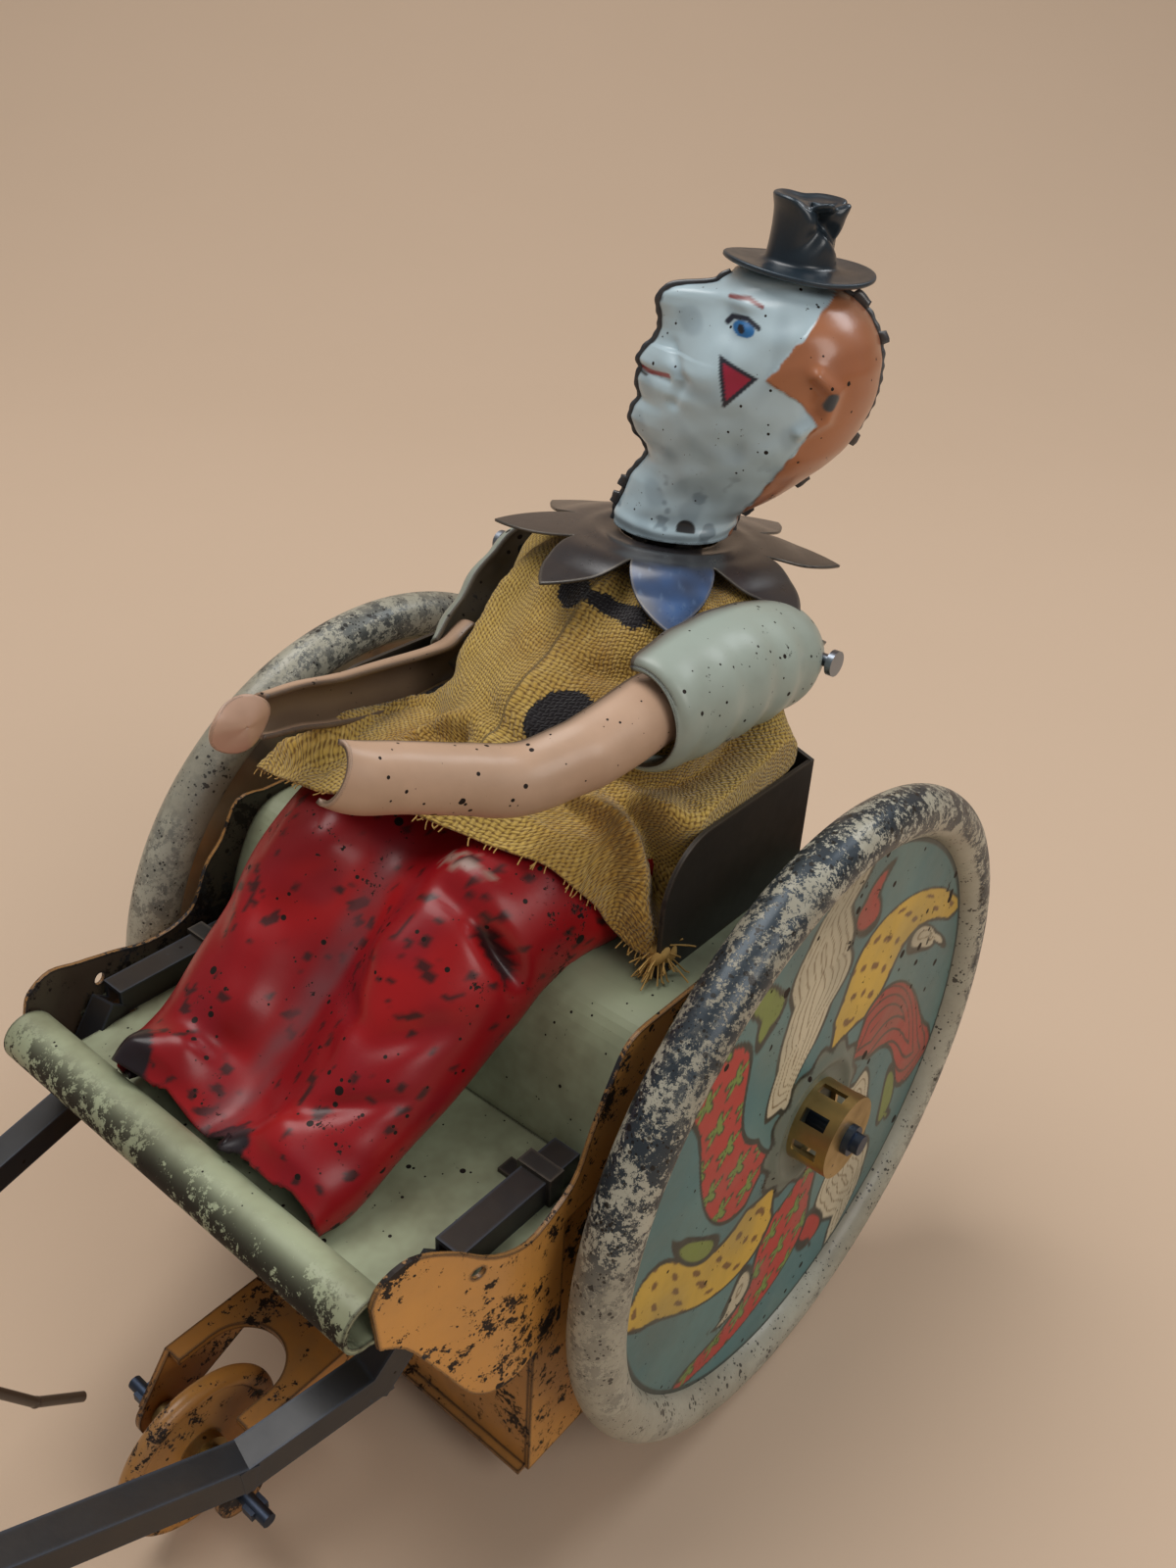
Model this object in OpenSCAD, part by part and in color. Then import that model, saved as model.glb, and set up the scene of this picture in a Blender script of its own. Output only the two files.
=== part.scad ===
// Wind-up tin cart on two tall wheels, with a seated clown and a mule between its shafts.
// Forward, towards the mule, is +X, the toy's left is +Y, and the ground is z = 0.
// Places along X are given from the drive axle, and the origin is under the toy's middle.

/* [Drive wheels] */
// Outside diameter of a drive wheel
wheel_d = 80; // [76:1:82]
// Gap between the works' box and the middle plane of a drive wheel
wheel_gap = 7.55; // [7.3:0.05:9]
// Thickness of the rolled rim
rim_d = 8.4; // [7:0.2:8.6]
// Thickness of the wheel's sheet
wheel_sheet = 0.6; // [0.4:0.1:0.8]
// Diameter of the drive axle
axle_d = 2.4; // [2:0.1:2.8]
// How far the axle stands out of a hub cage
axle_tip = 1.8; // [1:0.1:3]
// Outside diameter of the brass hub cage
cage_d = 10; // [8:0.5:12]
// Length of the brass hub cage
cage_len = 5.6; // [4:0.2:7]
// Number of windows round a hub cage
cage_windows = 8; // [6:1:10]

/* [Cart body] */
// Width over the works' box
body_w = 53.5; // [53:0.1:54]
// Thickness of the tin sheet
sheet = 0.5; // [0.4:0.05:0.6]
// Height of the footboard above the ground
floor_z = 49.3; // [48.5:0.1:50]
// Front edge of the rolled rim, from the axle
floor_front = 59.8; // [59:0.2:61]
// Diameter of the rolled front rim
curl_d = 5.6; // [5:0.2:6]
// How far the seat stands above the footboard
seat_rise = 15.2; // [14.5:0.1:16]
// Front top edge of the seat, from the axle
seat_front = 24; // [23:0.2:25]
// How far the seat's front leans forward at its foot
seat_lean = 6; // [5:0.5:7]
// How far the tub's walls stand out from the works' box below
tub_out = 2.6; // [2.2:0.1:2.8]
// Front face of the works' box, from the axle
box_front = 36; // [35.5:0.5:37]
// Rear face of the works' box, behind the axle
box_rear = 24; // [24:0.5:26]
// Gap between the box and the ground
box_clear = 5.7; // [5:0.1:6.5]
// Height of the seat back's wings above the seat
back_rise = 14.6; // [13:0.2:15]
// How far the seat back's middle rises above its wings
back_arch = 4; // [2:0.5:5]
// Place of the seat back, behind the axle
back_at = 8; // [7.6:0.2:9]
// Front end of the seat back's side wings, ahead of the axle
wing_len = 17.6; // [16:0.2:18.4]
// Width over the seat back's wings
back_w = 50.8; // [49:0.2:51.4]

/* [Front wheel] */
// Diameter of the small front wheel
front_d = 20; // [19:0.5:21]
// Place of the front wheel's axle, ahead of the drive axle
front_x = 60; // [59:0.5:61]
// Diameter of the front axle's wire
front_axle_d = 1.6; // [1.4:0.1:1.8]
// Width over the fork's legs
fork_w = 15; // [14:0.5:17]
// Diameter of the front wheel's brass hub
front_hub_d = 5; // [4.4:0.2:6]

/* [Shafts and mule] */
// Width of a shaft's channel
shaft_w = 3.2; // [3:0.1:3.4]
// Height of a shaft's channel
shaft_h = 3; // [2.6:0.1:3.2]
// Place of the mule's pivot, ahead of the drive axle
pivot_x = 112; // [110:1:114]
// Height of the mule's pivot
pivot_z = 49; // [48:0.5:50]
// Diameter of the mule's pivot pin
pivot_d = 2; // [1.8:0.1:2.4]
// Width of the mule's body
mule_w = 18; // [17:0.5:18.5]
// Reach of the muzzle ahead of the pivot
mule_reach = 40; // [39:0.5:42]
// Thickness of the mule's and the clown's sheet
skin = 0.6; // [0.5:0.1:0.8]

/* [Clown] */
// Diameter of the toe hinge's pin
toe_pin_d = 1.2; // [1:0.1:1.4]
// Place of the toe hinge, behind the rolled rim
toe_back = 2.5; // [2:0.5:3]
// Diameter of the shoulder wire
shoulder_d = 1.4; // [1.2:0.1:1.6]
// Diameter of the petal collar
collar_d = 39; // [37:1:41]
// Number of petals round the collar
petals = 8; // [7:1:9]
// Diameter of the hat's brim
brim_d = 15.6; // [14:0.2:18]
// Height of the hat
hat_h = 6.9; // [6:0.1:8]
// Half-width of the head
head_half = 11; // [10:0.5:12]
// How far the head is turned to the clown's right at rest, in degrees
head_turn = 58; // [30:1:70]

/* [Clockwork] */
// Tooth size of the gears, pitch diameter per tooth
gear_module = 0.8; // [0.78:0.01:0.82]
// Teeth on the drive axle's pinion
pinion_teeth = 12;
// Teeth on the intermediate wheel
inter_teeth = 36;
// Teeth on the intermediate pinion
crown_pinion_teeth = 12;
// Teeth on the great wheel
crown_teeth = 28;
// Thickness of the spur gears
gear_t = 1.6; // [1.2:0.1:2]
// Distance between the outer faces of the motor plates
plates_w = 36.8; // [36:0.2:38]
// Thickness of a motor plate
plate_t = 0.8; // [0.6:0.1:1]
// Diameter of the winding arbor
arbor_d = 3; // [2.6:0.1:3.2]
// Outside diameter of the mainspring
spring_d = 26; // [24:0.5:27]
// Turns in the mainspring
spring_turns = 5; // [4:1:6]
// Width of the mainspring's strip
spring_w = 10; // [8:0.5:10.5]
// Teeth on the ratchet wheel
ratchet_teeth = 12;
// Width over the winding key's wings
key_w = 24; // [22:1:28]

/* [Hidden] */

tin_black = [0.09, 0.09, 0.11];
tin_green = [0.72, 0.76, 0.58];
tin_orange = [0.86, 0.56, 0.22];
tin_grey = [0.62, 0.64, 0.62];
tin_red = [0.66, 0.05, 0.07];
tin_white = [0.86, 0.89, 0.92];
brass = [0.72, 0.6, 0.3];
steel = [0.55, 0.58, 0.63];
cloth = [0.83, 0.66, 0.26];
flesh = [0.82, 0.62, 0.48];
mule_brown = [0.47, 0.36, 0.27];

run_gap = 0.04;
rest_gap = 0.3;
far = 200;
wheel_r = wheel_d / 2;
wheel_y = body_w / 2 + wheel_gap;
axle_z = wheel_r;
disc_y = wheel_y + 0.4;
cage_end = disc_y + wheel_sheet + cage_len;
axle_half = cage_end + axle_tip;
mule_front = pivot_x + mule_reach;
axle_x = -(mule_front - wheel_r) / 2;
side_in = body_w / 2 - sheet;
wall_front = floor_front - curl_d / 2;
front_y = body_w / 2 - 0.1;
seat_z = floor_z + seat_rise;
seat_foot = seat_front + seat_lean;
back_x = -back_at;
tub_rear = back_x - 4;
belly_top = box_clear + sheet;
shaft_y = side_in - 0.4;
clip_x = 34;
slot_x = 45.8;
slot_end = 53;
front_z = front_d / 2;
fork_z = front_z + 7.5;
eye_t = 1.2;
lug_y = 2.6;
knuckle_y = 6.4;
mule_half = mule_w / 2;
eye_y = mule_half + 1.2;
toe_x = slot_end - toe_back;
toe_z = floor_z + 1.7;
pinion_r = pinion_teeth * gear_module / 2;
inter_r = inter_teeth * gear_module / 2;
crown_pinion_r = crown_pinion_teeth * gear_module / 2;
crown_r = crown_teeth * gear_module / 2;
inter_x = 16;
inter_z = axle_z - sqrt(pow(pinion_r + inter_r, 2) - pow(inter_x, 2));
train_y = plates_w / 2 - plate_t - gear_t / 2 - 0.8;
crown_x = inter_x - crown_pinion_r;
crown_web = crown_x - 3.4;
arbor_front = crown_x + 1.6;
arbor_rear = box_rear + 9;
ratchet_x = crown_web - 2.2;
ratchet_r = 5.4;
pawl_r = 8.6;
bracket_x = ratchet_x - 1.6;
spring_x = -18;
cam_r = 4.2;
cam_shift = 2;
rod_d = 2;
rod_foot = axle_z + cam_r + cam_shift + rest_gap;
core_foot = seat_z + 4;
shoulder = [-12, 88.5];
arm_y = 18;
neck = [-14, 95.5];
collar_tilt = 5;
peg_d = 5;
head_foot = neck[1] + 1.4;
head_top = 124.1;
head_levels = 25;
head_steps = 14;
hat_at = [-10.7, 124.75];
hat_tilt = 5;

// Everything is drawn from the drive axle, then moved so that the origin is at the toy's middle
module at_axle() {
    translate([axle_x, 0, 0]) children();
}

module on_side(side) {
    if (side > 0) children();
    else mirror([0, 1, 0]) children();
}

// Pushes an outline in X and Z out along Y, from y0 to y1
module plate_y(y0, y1) {
    translate([0, y1, 0]) rotate([90, 0, 0]) linear_extrude(y1 - y0) children();
}

// Pushes an outline in Y and Z out along X, from x0 to x1
module plate_x(x0, x1) {
    translate([x0, 0, 0]) rotate([90, 0, 90]) linear_extrude(x1 - x0) children();
}

module rod_y(d, y0, y1) {
    translate([0, y0, 0]) rotate([-90, 0, 0]) cylinder(h = y1 - y0, d = d, $fn = 48);
}

module rod_x(d, x0, x1) {
    translate([x0, 0, 0]) rotate([0, 90, 0]) cylinder(h = x1 - x0, d = d, $fn = 48);
}

// Turns a profile of radius and outward distance about the Y axis
module turned_y() {
    rotate([-90, 0, 0]) rotate_extrude($fn = 96) children();
}

// A smooth curve through the points, with the given steps from one point to the next
function curve(p, steps) = [for (i = [0 : len(p) - 2], k = [0 : steps - 1])
    let (a = p[max(i - 1, 0)], b = p[i], c = p[i + 1], d = p[min(i + 2, len(p) - 1)], t = k / steps)
    0.5 * (2 * b + (c - a) * t + (2 * a - 5 * b + 4 * c - d) * t * t + (3 * b - a - 3 * c + d) * t * t * t)];

// The tub's wall from above: beside the wheels, bulging ahead of them, drawn in at the rim
wall_line = concat([[tub_rear, body_w / 2 + tub_out]], curve([[28, body_w / 2 + tub_out],
    [36, body_w / 2 + tub_out + 0.3], [42, body_w / 2 + tub_out + 0.8], [47, body_w / 2 + tub_out],
    [52, body_w / 2 + 1], [wall_front, front_y + 0.1]], 5), [[wall_front, front_y]]);

// The tub's floor and seat as seen from above, inside the walls, from x0 to x1
module tub_plan(x0, x1) {
    half = [for (p = wall_line) [p[0], p[1] - sheet]];
    intersection() {
        polygon(concat(half, [for (i = [len(half) - 1 : -1 : 0]) [half[i][0], -half[i][1]]]));
        translate([x0, -far]) square([x1 - x0, 2 * far]);
    }
}

// Side view of the seat sheet and its front, down to the footboard
function seat_line(drop) = concat([[tub_rear, seat_z - drop]], curve([[seat_front - 6, seat_z - drop],
    [seat_front - 2, seat_z - 0.3 - drop], [seat_front + 0.8 - drop * 0.7, seat_z - 2 - drop * 0.7],
    [seat_front + 3.2 - drop, seat_z - 6], [seat_foot - 1 - drop, seat_z - 11], [seat_foot - drop, floor_z - drop]], 4),
    [[seat_foot - drop, floor_z - sheet]]);

module floor_and_seat() {
    top = seat_line(0);
    low = seat_line(sheet);
    color(tin_green) at_axle() {
        difference() {
            translate([0, 0, floor_z - sheet]) linear_extrude(sheet) tub_plan(seat_foot - sheet, wall_front);
            for (side = [-1, 1])
                translate([slot_x, side * shaft_y - shaft_w / 2 - 0.3, floor_z - 2])
                    cube([slot_end - slot_x, shaft_w + 0.6, 4]);
            for (side = [-1, 1])
                translate([toe_x - 1, side * lug_y - 0.4, floor_z - 2]) cube([2, 0.8, 4]);
        }
        difference() {
            translate([wall_front, 0, floor_z - sheet + curl_d / 2]) rod_y(curl_d, -front_y + sheet, front_y - sheet);
            translate([wall_front, 0, floor_z - sheet + curl_d / 2]) rod_y(curl_d - 2 * sheet, -far, far);
        }
        difference() {
            intersection() {
                plate_y(-far, far)
                    polygon(concat(top, [for (i = [len(low) - 1 : -1 : 0]) low[i]]));
                linear_extrude(far) tub_plan(tub_rear, seat_foot + 1);
            }
            cylinder(h = far, d = rod_d + 2 * run_gap, $fn = 48);
        }
    }
}

// Back with an arched top edge, folded forward into a wing on each side
module seat_back() {
    wing_r = 7;
    half = back_w / 2;
    arch_r = (half * half + back_arch * back_arch) / 2 / back_arch;
    top = seat_z + back_rise;
    color(tin_black) at_axle() {
        intersection() {
            translate([back_x, -half, seat_z]) cube([sheet, back_w, back_rise + back_arch]);
            translate([0, 0, top + back_arch - arch_r]) rod_x_round(arch_r);
        }
        for (side = [-1, 1]) on_side(side) plate_y(half - sheet, half) {
            translate([back_x, seat_z]) square([wing_len - back_x - wing_r, back_rise]);
            translate([back_x, seat_z]) square([wing_len - back_x, back_rise - wing_r]);
            translate([wing_len - wing_r, top - wing_r]) circle(r = wing_r, $fn = 64);
        }
    }
}

module rod_x_round(r) {
    translate([-far, 0, 0]) rotate([0, 90, 0]) cylinder(h = 2 * far, r = r, $fn = 128);
}

// Outline of the tub's side: front lobe, dip beside the footboard, and the seat's side
function panel_outline(rise) = concat(
    curve([[wall_front, floor_z + 4.6], [wall_front - 1, floor_z + 6.8], [wall_front - 4, floor_z + 7.8],
        [wall_front - 8, floor_z + 6], [wall_front - 12, floor_z + 2.8 + rise], [wall_front - 17, floor_z + 1.4 + rise],
        [seat_foot + 4.5, floor_z + 3 + rise], [seat_foot + 1.8, floor_z + 8 + rise], [seat_foot - 0.6, seat_z - 3],
        [seat_front + 2.6, seat_z + 0.4 + rise / 2], [seat_front - 2, seat_z + 0.8]], 4),
    [[tub_rear, seat_z + 0.8], [tub_rear, floor_z - 1], [box_front - 0.5, floor_z - 1]],
    curve([[box_front - 0.5, floor_z - 15], [box_front + 3, floor_z - 15.8], [box_front + 8, floor_z - 16.4],
        [box_front + 11.5, floor_z - 14.6], [box_front + 14.6, floor_z - 9], [wall_front - 3, floor_z - 3],
        [wall_front, floor_z - 0.8]], 4));

module side_panel(side, rise) {
    n = len(wall_line);
    strip = concat(wall_line, [for (i = [n - 1 : -1 : 0]) [wall_line[i][0], wall_line[i][1] - sheet]]);
    color(tin_orange) at_axle() on_side(side) difference() {
        union() {
            intersection() {
                linear_extrude(far) polygon(strip);
                plate_y(0, far) polygon(panel_outline(rise));
            }
            plate_y(side_in, side_in + sheet) polygon([[-box_rear, box_clear + 1.5], [1.5 - box_rear, box_clear],
                [box_front, box_clear], [box_front, floor_z - sheet], [tub_rear, floor_z - sheet],
                [tub_rear, seat_z - sheet], [tub_rear - 1, seat_z - 1], [-box_rear, seat_z - 12]]);
            translate([tub_rear, side_in, floor_z - sheet - 0.5])
                cube([seat_foot - sheet - tub_rear, tub_out + sheet, 0.5]);
        }
        translate([0, 0, axle_z]) rod_y(2 * axle_d, 0, far);
        translate([wall_front - 10, 0, floor_z + 2.2]) rod_y(1.4, 0, far);
    }
}

module side_panel_left() {
    side_panel(1, 0);
}

module side_panel_right() {
    side_panel(-1, 1.6);
}

// One strip that closes the box in front, below and behind, and slopes up to the seat
module belly_wrap() {
    lip = 1.2;
    chamfer = 1.5;
    color(tin_orange) at_axle() difference() {
        plate_y(-side_in, side_in) polygon([[box_front + lip, box_clear], [chamfer - box_rear, box_clear],
            [-box_rear, box_clear + chamfer], [-box_rear, seat_z - 12], [tub_rear - 1, seat_z - 1],
            [tub_rear, seat_z - sheet], [tub_rear, seat_z - 2.6 * sheet], [sheet - box_rear, seat_z - 12.4],
            [sheet - box_rear, belly_top + 1.2], [chamfer - box_rear + 0.2, belly_top], [box_front - sheet, belly_top],
            [box_front - sheet, floor_z - sheet], [box_front, floor_z - sheet], [box_front, belly_top],
            [box_front + lip, belly_top]]);
        translate([0, 0, inter_z]) rod_x(arbor_d + 3, -far, -box_rear + 2);
    }
}

// A straight length of channel from a to b, open below, with the ends lapped for the bends
module channel_run(a, b) {
    d = b - a;
    flat = sqrt(d[0] * d[0] + d[1] * d[1]);
    lap = 0.5;
    translate(a) rotate([0, -atan2(d[2], flat), atan2(d[1], d[0])]) plate_x(-lap, norm(d) + lap)
        difference() {
            translate([-shaft_w / 2, 0]) square([shaft_w, shaft_h]);
            translate([-shaft_w / 2 + sheet, -sheet]) square([shaft_w - 2 * sheet, shaft_h]);
        }
}

module shaft(side) {
    bend = [slot_x + 1, shaft_y, floor_z];
    drop = [54.6, shaft_y - 1.4, floor_z - 9.2];
    knee = [68, 22, floor_z - 10.4];
    tip = [pivot_x - 4, eye_y + eye_t / 2, pivot_z - shaft_h / 2];
    color(tin_black) at_axle() on_side(side) {
        channel_run([seat_foot + 1.6, shaft_y, floor_z], bend);
        channel_run(bend, drop);
        channel_run(drop, knee);
        channel_run(knee, tip);
        difference() {
            union() {
                translate([pivot_x, 0, pivot_z]) rod_y(6, eye_y, eye_y + eye_t);
                translate([tip[0] - 1, eye_y, pivot_z - 1.7]) cube([5, eye_t, 3.4]);
            }
            translate([pivot_x, 0, pivot_z]) rod_y(pivot_d, 0, far);
        }
    }
}

module shaft_left() {
    shaft(1);
}

module shaft_right() {
    shaft(-1);
}

// Two straps that hold the shafts down on the footboard
module shaft_clips() {
    color(tin_black) at_axle() for (side = [-1, 1]) on_side(side)
        plate_x(clip_x, clip_x + 2) {
            translate([shaft_y - shaft_w / 2 - sheet, floor_z + shaft_h]) square([shaft_w + 2 * sheet, sheet]);
            translate([shaft_y - shaft_w / 2 - sheet, floor_z]) square([sheet, shaft_h]);
            translate([shaft_y + shaft_w / 2, floor_z]) square([sheet, shaft_h]);
            translate([shaft_y - shaft_w / 2 - 3, floor_z]) square([3, sheet]);
        }
}

// A forked plate from the works' box, with its two legs bent down to the front axle
module front_fork() {
    slot_w = fork_w - 5;
    slot_rear = front_x - front_d / 2 - 1.2;
    leg_t = 0.8;
    color(tin_orange) at_axle() {
        difference() {
            translate([box_front, -fork_w / 2, fork_z]) cube([front_x - box_front - 2, fork_w, leg_t]);
            translate([slot_rear + slot_w / 2, 0, 0]) {
                cylinder(h = far, d = slot_w, $fn = 64);
                translate([0, -slot_w / 2, 0]) cube([far, slot_w, far]);
            }
        }
        for (side = [-1, 1]) on_side(side) difference() {
            plate_y(fork_w / 2 - leg_t, fork_w / 2) {
                polygon([[box_front + 8, fork_z + leg_t], [box_front + 8, fork_z - 2.5], [front_x - 2.6, front_z - 1.2],
                    [front_x + 2.2, front_z + 2.4], [front_x - 2, fork_z + leg_t]]);
                translate([front_x, front_z]) circle(r = 2.9, $fn = 48);
            }
            translate([front_x, 0, front_z]) rod_y(front_axle_d, 0, far);
        }
        plate_x(box_front, box_front + leg_t) translate([-fork_w / 2, fork_z - 5]) square([fork_w, 5.5]);
    }
}

module front_axle() {
    color(steel) at_axle() translate([front_x, 0, front_z]) {
        rod_y(front_axle_d, -fork_w / 2 - 4.5, fork_w / 2 + 4.5);
        for (side = [-1, 1]) on_side(side) translate([-1.1, fork_w / 2 + 1.4, -0.5]) cube([2.2, 1.6, 1]);
    }
}

module front_wheel() {
    roll = 2.2;
    color(tin_orange) at_axle() translate([front_x, 0, front_z]) turned_y() difference() {
        union() {
            translate([front_hub_d / 2, -0.3]) square([front_d / 2 - roll - front_hub_d / 2 + 0.4, 0.6]);
            translate([front_d / 2 - roll / 2, 0]) circle(d = roll, $fn = 32);
        }
        translate([front_d / 2 - roll / 2, 0]) circle(d = roll - 1, $fn = 32);
    }
}

module front_hub() {
    hub_half = fork_w / 2 - 0.8 - rest_gap;
    color(brass) at_axle() translate([front_x, 0, front_z]) difference() {
        union() {
            rod_y(front_hub_d, -1.6, 1.6);
            rod_y(front_hub_d - 1.8, -hub_half, hub_half);
        }
        rod_y(front_axle_d + 2 * run_gap, -far, far);
    }
}

module drive_axle() {
    color(steel) at_axle() translate([0, 0, axle_z]) {
        rod_y(axle_d, -axle_half, axle_half);
        for (side = [-1, 1]) on_side(side) rod_y(axle_d + 1.2, cage_end, cage_end + 0.8);
    }
}

module drive_wheel(side) {
    ring_r = wheel_r - rim_d / 2;
    color(tin_grey) at_axle() on_side(side) translate([0, 0, axle_z]) difference() {
        turned_y() difference() {
            union() {
                translate([axle_d / 2, disc_y]) square([ring_r - rim_d / 2 + 0.4, wheel_sheet]);
                translate([ring_r, wheel_y]) circle(d = rim_d, $fn = 48);
                translate([cage_d / 2 + 2.6, disc_y]) circle(r = 1.1, $fn = 24);
            }
            translate([ring_r, wheel_y]) circle(d = rim_d - 2 * wheel_sheet, $fn = 48);
            translate([0, -far]) square([cage_d / 2 + 4, far + disc_y]);
        }
        for (i = [0 : 3]) rotate([0, 45 + 90 * i, 0])
            translate([cage_d / 2 + 3.8, 0, -1]) cube([1.2, far, 2]);
    }
}

module wheel_left() {
    drive_wheel(1);
}

module wheel_right() {
    drive_wheel(-1);
}

// Stamped brass lantern on the outside of a drive wheel
module hub_cage(side) {
    wall = 0.6;
    base = disc_y + wheel_sheet;
    bar = 0.42 * PI * cage_d / cage_windows;
    color(brass) at_axle() on_side(side) translate([0, 0, axle_z]) {
        difference() {
            rod_y(cage_d, base, cage_end);
            rod_y(cage_d - 2 * wall, base + wall, cage_end - wall);
            rod_y(axle_d, 0, far);
            for (i = [0 : cage_windows - 1]) rotate([0, 360 * i / cage_windows, 0])
                translate([cage_d / 2 - 2, base + 1.4, -bar / 2]) cube([4, cage_len - 2.6, bar]);
        }
        difference() {
            rod_y(cage_d + 2, base, base + 0.4);
            rod_y(cage_d - wall, 0, far);
        }
    }
}

module hub_cage_left() {
    hub_cage(1);
}

module hub_cage_right() {
    hub_cage(-1);
}

module wheel_collars() {
    color(steel) at_axle() for (side = [-1, 1]) on_side(side) translate([0, 0, axle_z]) difference() {
        rod_y(axle_d + 3, body_w / 2 + 1.5, disc_y);
        rod_y(axle_d, 0, far);
    }
}

module axle_bushes() {
    color(brass) at_axle() for (side = [-1, 1]) on_side(side) translate([0, 0, axle_z]) difference() {
        union() {
            rod_y(2 * axle_d, side_in - 1.2, body_w / 2 + 1.2);
            rod_y(2 * axle_d + 2, side_in - 1.2, side_in);
        }
        rod_y(axle_d + 2 * run_gap, 0, far);
    }
}

// Straight-sided teeth round a pitch circle, with the first tooth along +X
module gear_plan(teeth, bore) {
    r = teeth * gear_module / 2;
    pitch = 360 / teeth;
    tip = r + 0.75 * gear_module;
    root = r - 1.1 * gear_module;
    difference() {
        polygon([for (i = [0 : teeth - 1], k = [[root, -0.3], [tip, -0.12], [tip, 0.12], [root, 0.3]])
            k[0] * [cos(pitch * (i + k[1])), sin(pitch * (i + k[1]))]]);
        circle(d = bore, $fn = 48);
    }
}

// A spur gear about the Y axis, turned so that the given angle from +X holds a tooth
module gear_y(teeth, bore, y, angle) {
    translate([0, y + gear_t / 2, 0]) rotate([90, 0, 0]) linear_extrude(gear_t) rotate(angle) gear_plan(teeth, bore);
}

// Angle of the line from the drive axle down to the intermediate arbor
mesh_angle = atan2(inter_z - axle_z, inter_x);

module axle_pinion() {
    color(brass) at_axle() translate([0, 0, axle_z]) gear_y(pinion_teeth, axle_d, train_y, mesh_angle);
}

module bounce_cam() {
    color(steel) at_axle() translate([0, 0, axle_z]) difference() {
        union() {
            translate([0, 0, -cam_shift]) rod_y(2 * cam_r, -1.2, 1.2);
            rod_y(axle_d + 1.6, -3, 3);
        }
        rod_y(axle_d, -far, far);
    }
}

module motor_plate(side) {
    outer = plates_w / 2;
    color(steel) at_axle() on_side(side) difference() {
        translate([-19, outer - plate_t, belly_top]) cube([53, plate_t, floor_z - sheet - rest_gap - belly_top]);
        translate([0, 0, axle_z]) rod_y(axle_d + 2 * run_gap, 0, far);
        translate([inter_x, 0, inter_z]) rod_y(1.6 + 2 * run_gap, 0, far);
        for (p = pillar_places()) translate([p[0], 0, p[1]]) rod_y(2, 0, far);
    }
}

function pillar_places() = [[-15, belly_top + 5], [29, belly_top + 5], [29, axle_z + 5.4], [-15, axle_z + 5.4]];

module motor_plate_left() {
    motor_plate(1);
}

module motor_plate_right() {
    motor_plate(-1);
}

module plate_pillars() {
    inner = plates_w / 2 - plate_t;
    color(brass) at_axle() for (p = pillar_places()) translate([p[0], 0, p[1]]) {
        rod_y(3.2, -inner, inner);
        rod_y(2, -inner - plate_t - 0.6, inner + plate_t + 0.6);
    }
}

module intermediate_arbor() {
    inner = plates_w / 2 - plate_t - rest_gap;
    color(steel) at_axle() translate([inter_x, 0, inter_z]) {
        rod_y(1.6, -plates_w / 2 - 0.6, plates_w / 2 + 0.6);
        rod_y(2.4, -inner, inner);
    }
}

module intermediate_wheel() {
    color(brass) at_axle() translate([inter_x, 0, inter_z])
        gear_y(inter_teeth, 2.4, train_y, mesh_angle + 180 + 180 / inter_teeth);
}

module intermediate_pinion() {
    color(brass) at_axle() translate([inter_x, 0, inter_z])
        translate([0, -crown_r + 0.05, 0]) rotate([90, 0, 0]) linear_extrude(2.3, center = true)
            rotate(180) gear_plan(crown_pinion_teeth, 2.4);
}

// Crown wheel about the arbor, with teeth that point forward
module great_wheel() {
    tooth = PI * gear_module;
    inner = crown_r - 1.4;
    color(brass) at_axle() translate([0, 0, inter_z]) difference() {
        union() {
            rod_x(2 * crown_r + 2.6, crown_web, crown_web + 0.8);
            difference() {
                rod_x(2 * crown_r + 2.6, crown_web, crown_x - 1);
                rod_x(2 * inner, 0, far);
            }
            rod_x(arbor_d + 4, crown_web - 0.4, crown_web + 2);
            for (i = [0 : crown_teeth - 1]) rotate([360 * (i + 0.5) / crown_teeth, 0, 0])
                translate([0, -inner, 0]) rotate([90, 0, 0]) linear_extrude(2.7)
                    polygon([[crown_x - 1.2, -0.24 * tooth], [crown_x + 0.6, -0.13 * tooth],
                        [crown_x + 0.6, 0.13 * tooth], [crown_x - 1.2, 0.24 * tooth]]);
        }
        rod_x(arbor_d + 2 * run_gap, -far, far);
        for (i = [0 : 4]) rotate([72 * i + 36, 0, 0]) translate([0, 0, 6.4]) rod_x(3.4, 0, far);
        translate([0, 0, pawl_r]) rod_x(1.4, 0, far);
    }
}

module pawl_pin() {
    color(steel) at_axle() translate([0, 0, inter_z + pawl_r]) {
        rod_x(1.4, ratchet_x - 0.5, crown_web + 0.8);
        rod_x(2.4, ratchet_x - 0.5, ratchet_x - 0.1);
    }
}

// Saw teeth round the arbor; the steep flanks face the pawl
module ratchet_plan() {
    step = 360 / ratchet_teeth;
    low = ratchet_r - 1.2;
    polygon([for (i = [0 : ratchet_teeth - 1], k = [[low, 0.08], [ratchet_r, 0.0]])
        k[0] * [cos(step * (i + k[1])), sin(step * (i + k[1]))]]);
}

module pawl() {
    color(steel) at_axle() translate([0, 0, inter_z]) difference() {
        plate_x(ratchet_x, ratchet_x + 1.2) {
            translate([0, pawl_r]) circle(r = 1.8, $fn = 32);
            polygon([[-1.2, pawl_r + 1.2], [-5.4, pawl_r - 1.6], [-5.6, pawl_r - 2.6], [-1, pawl_r - 1.5]]);
        }
        translate([0, 0, pawl_r]) rod_x(1.4 + 2 * run_gap, 0, far);
    }
}

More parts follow.
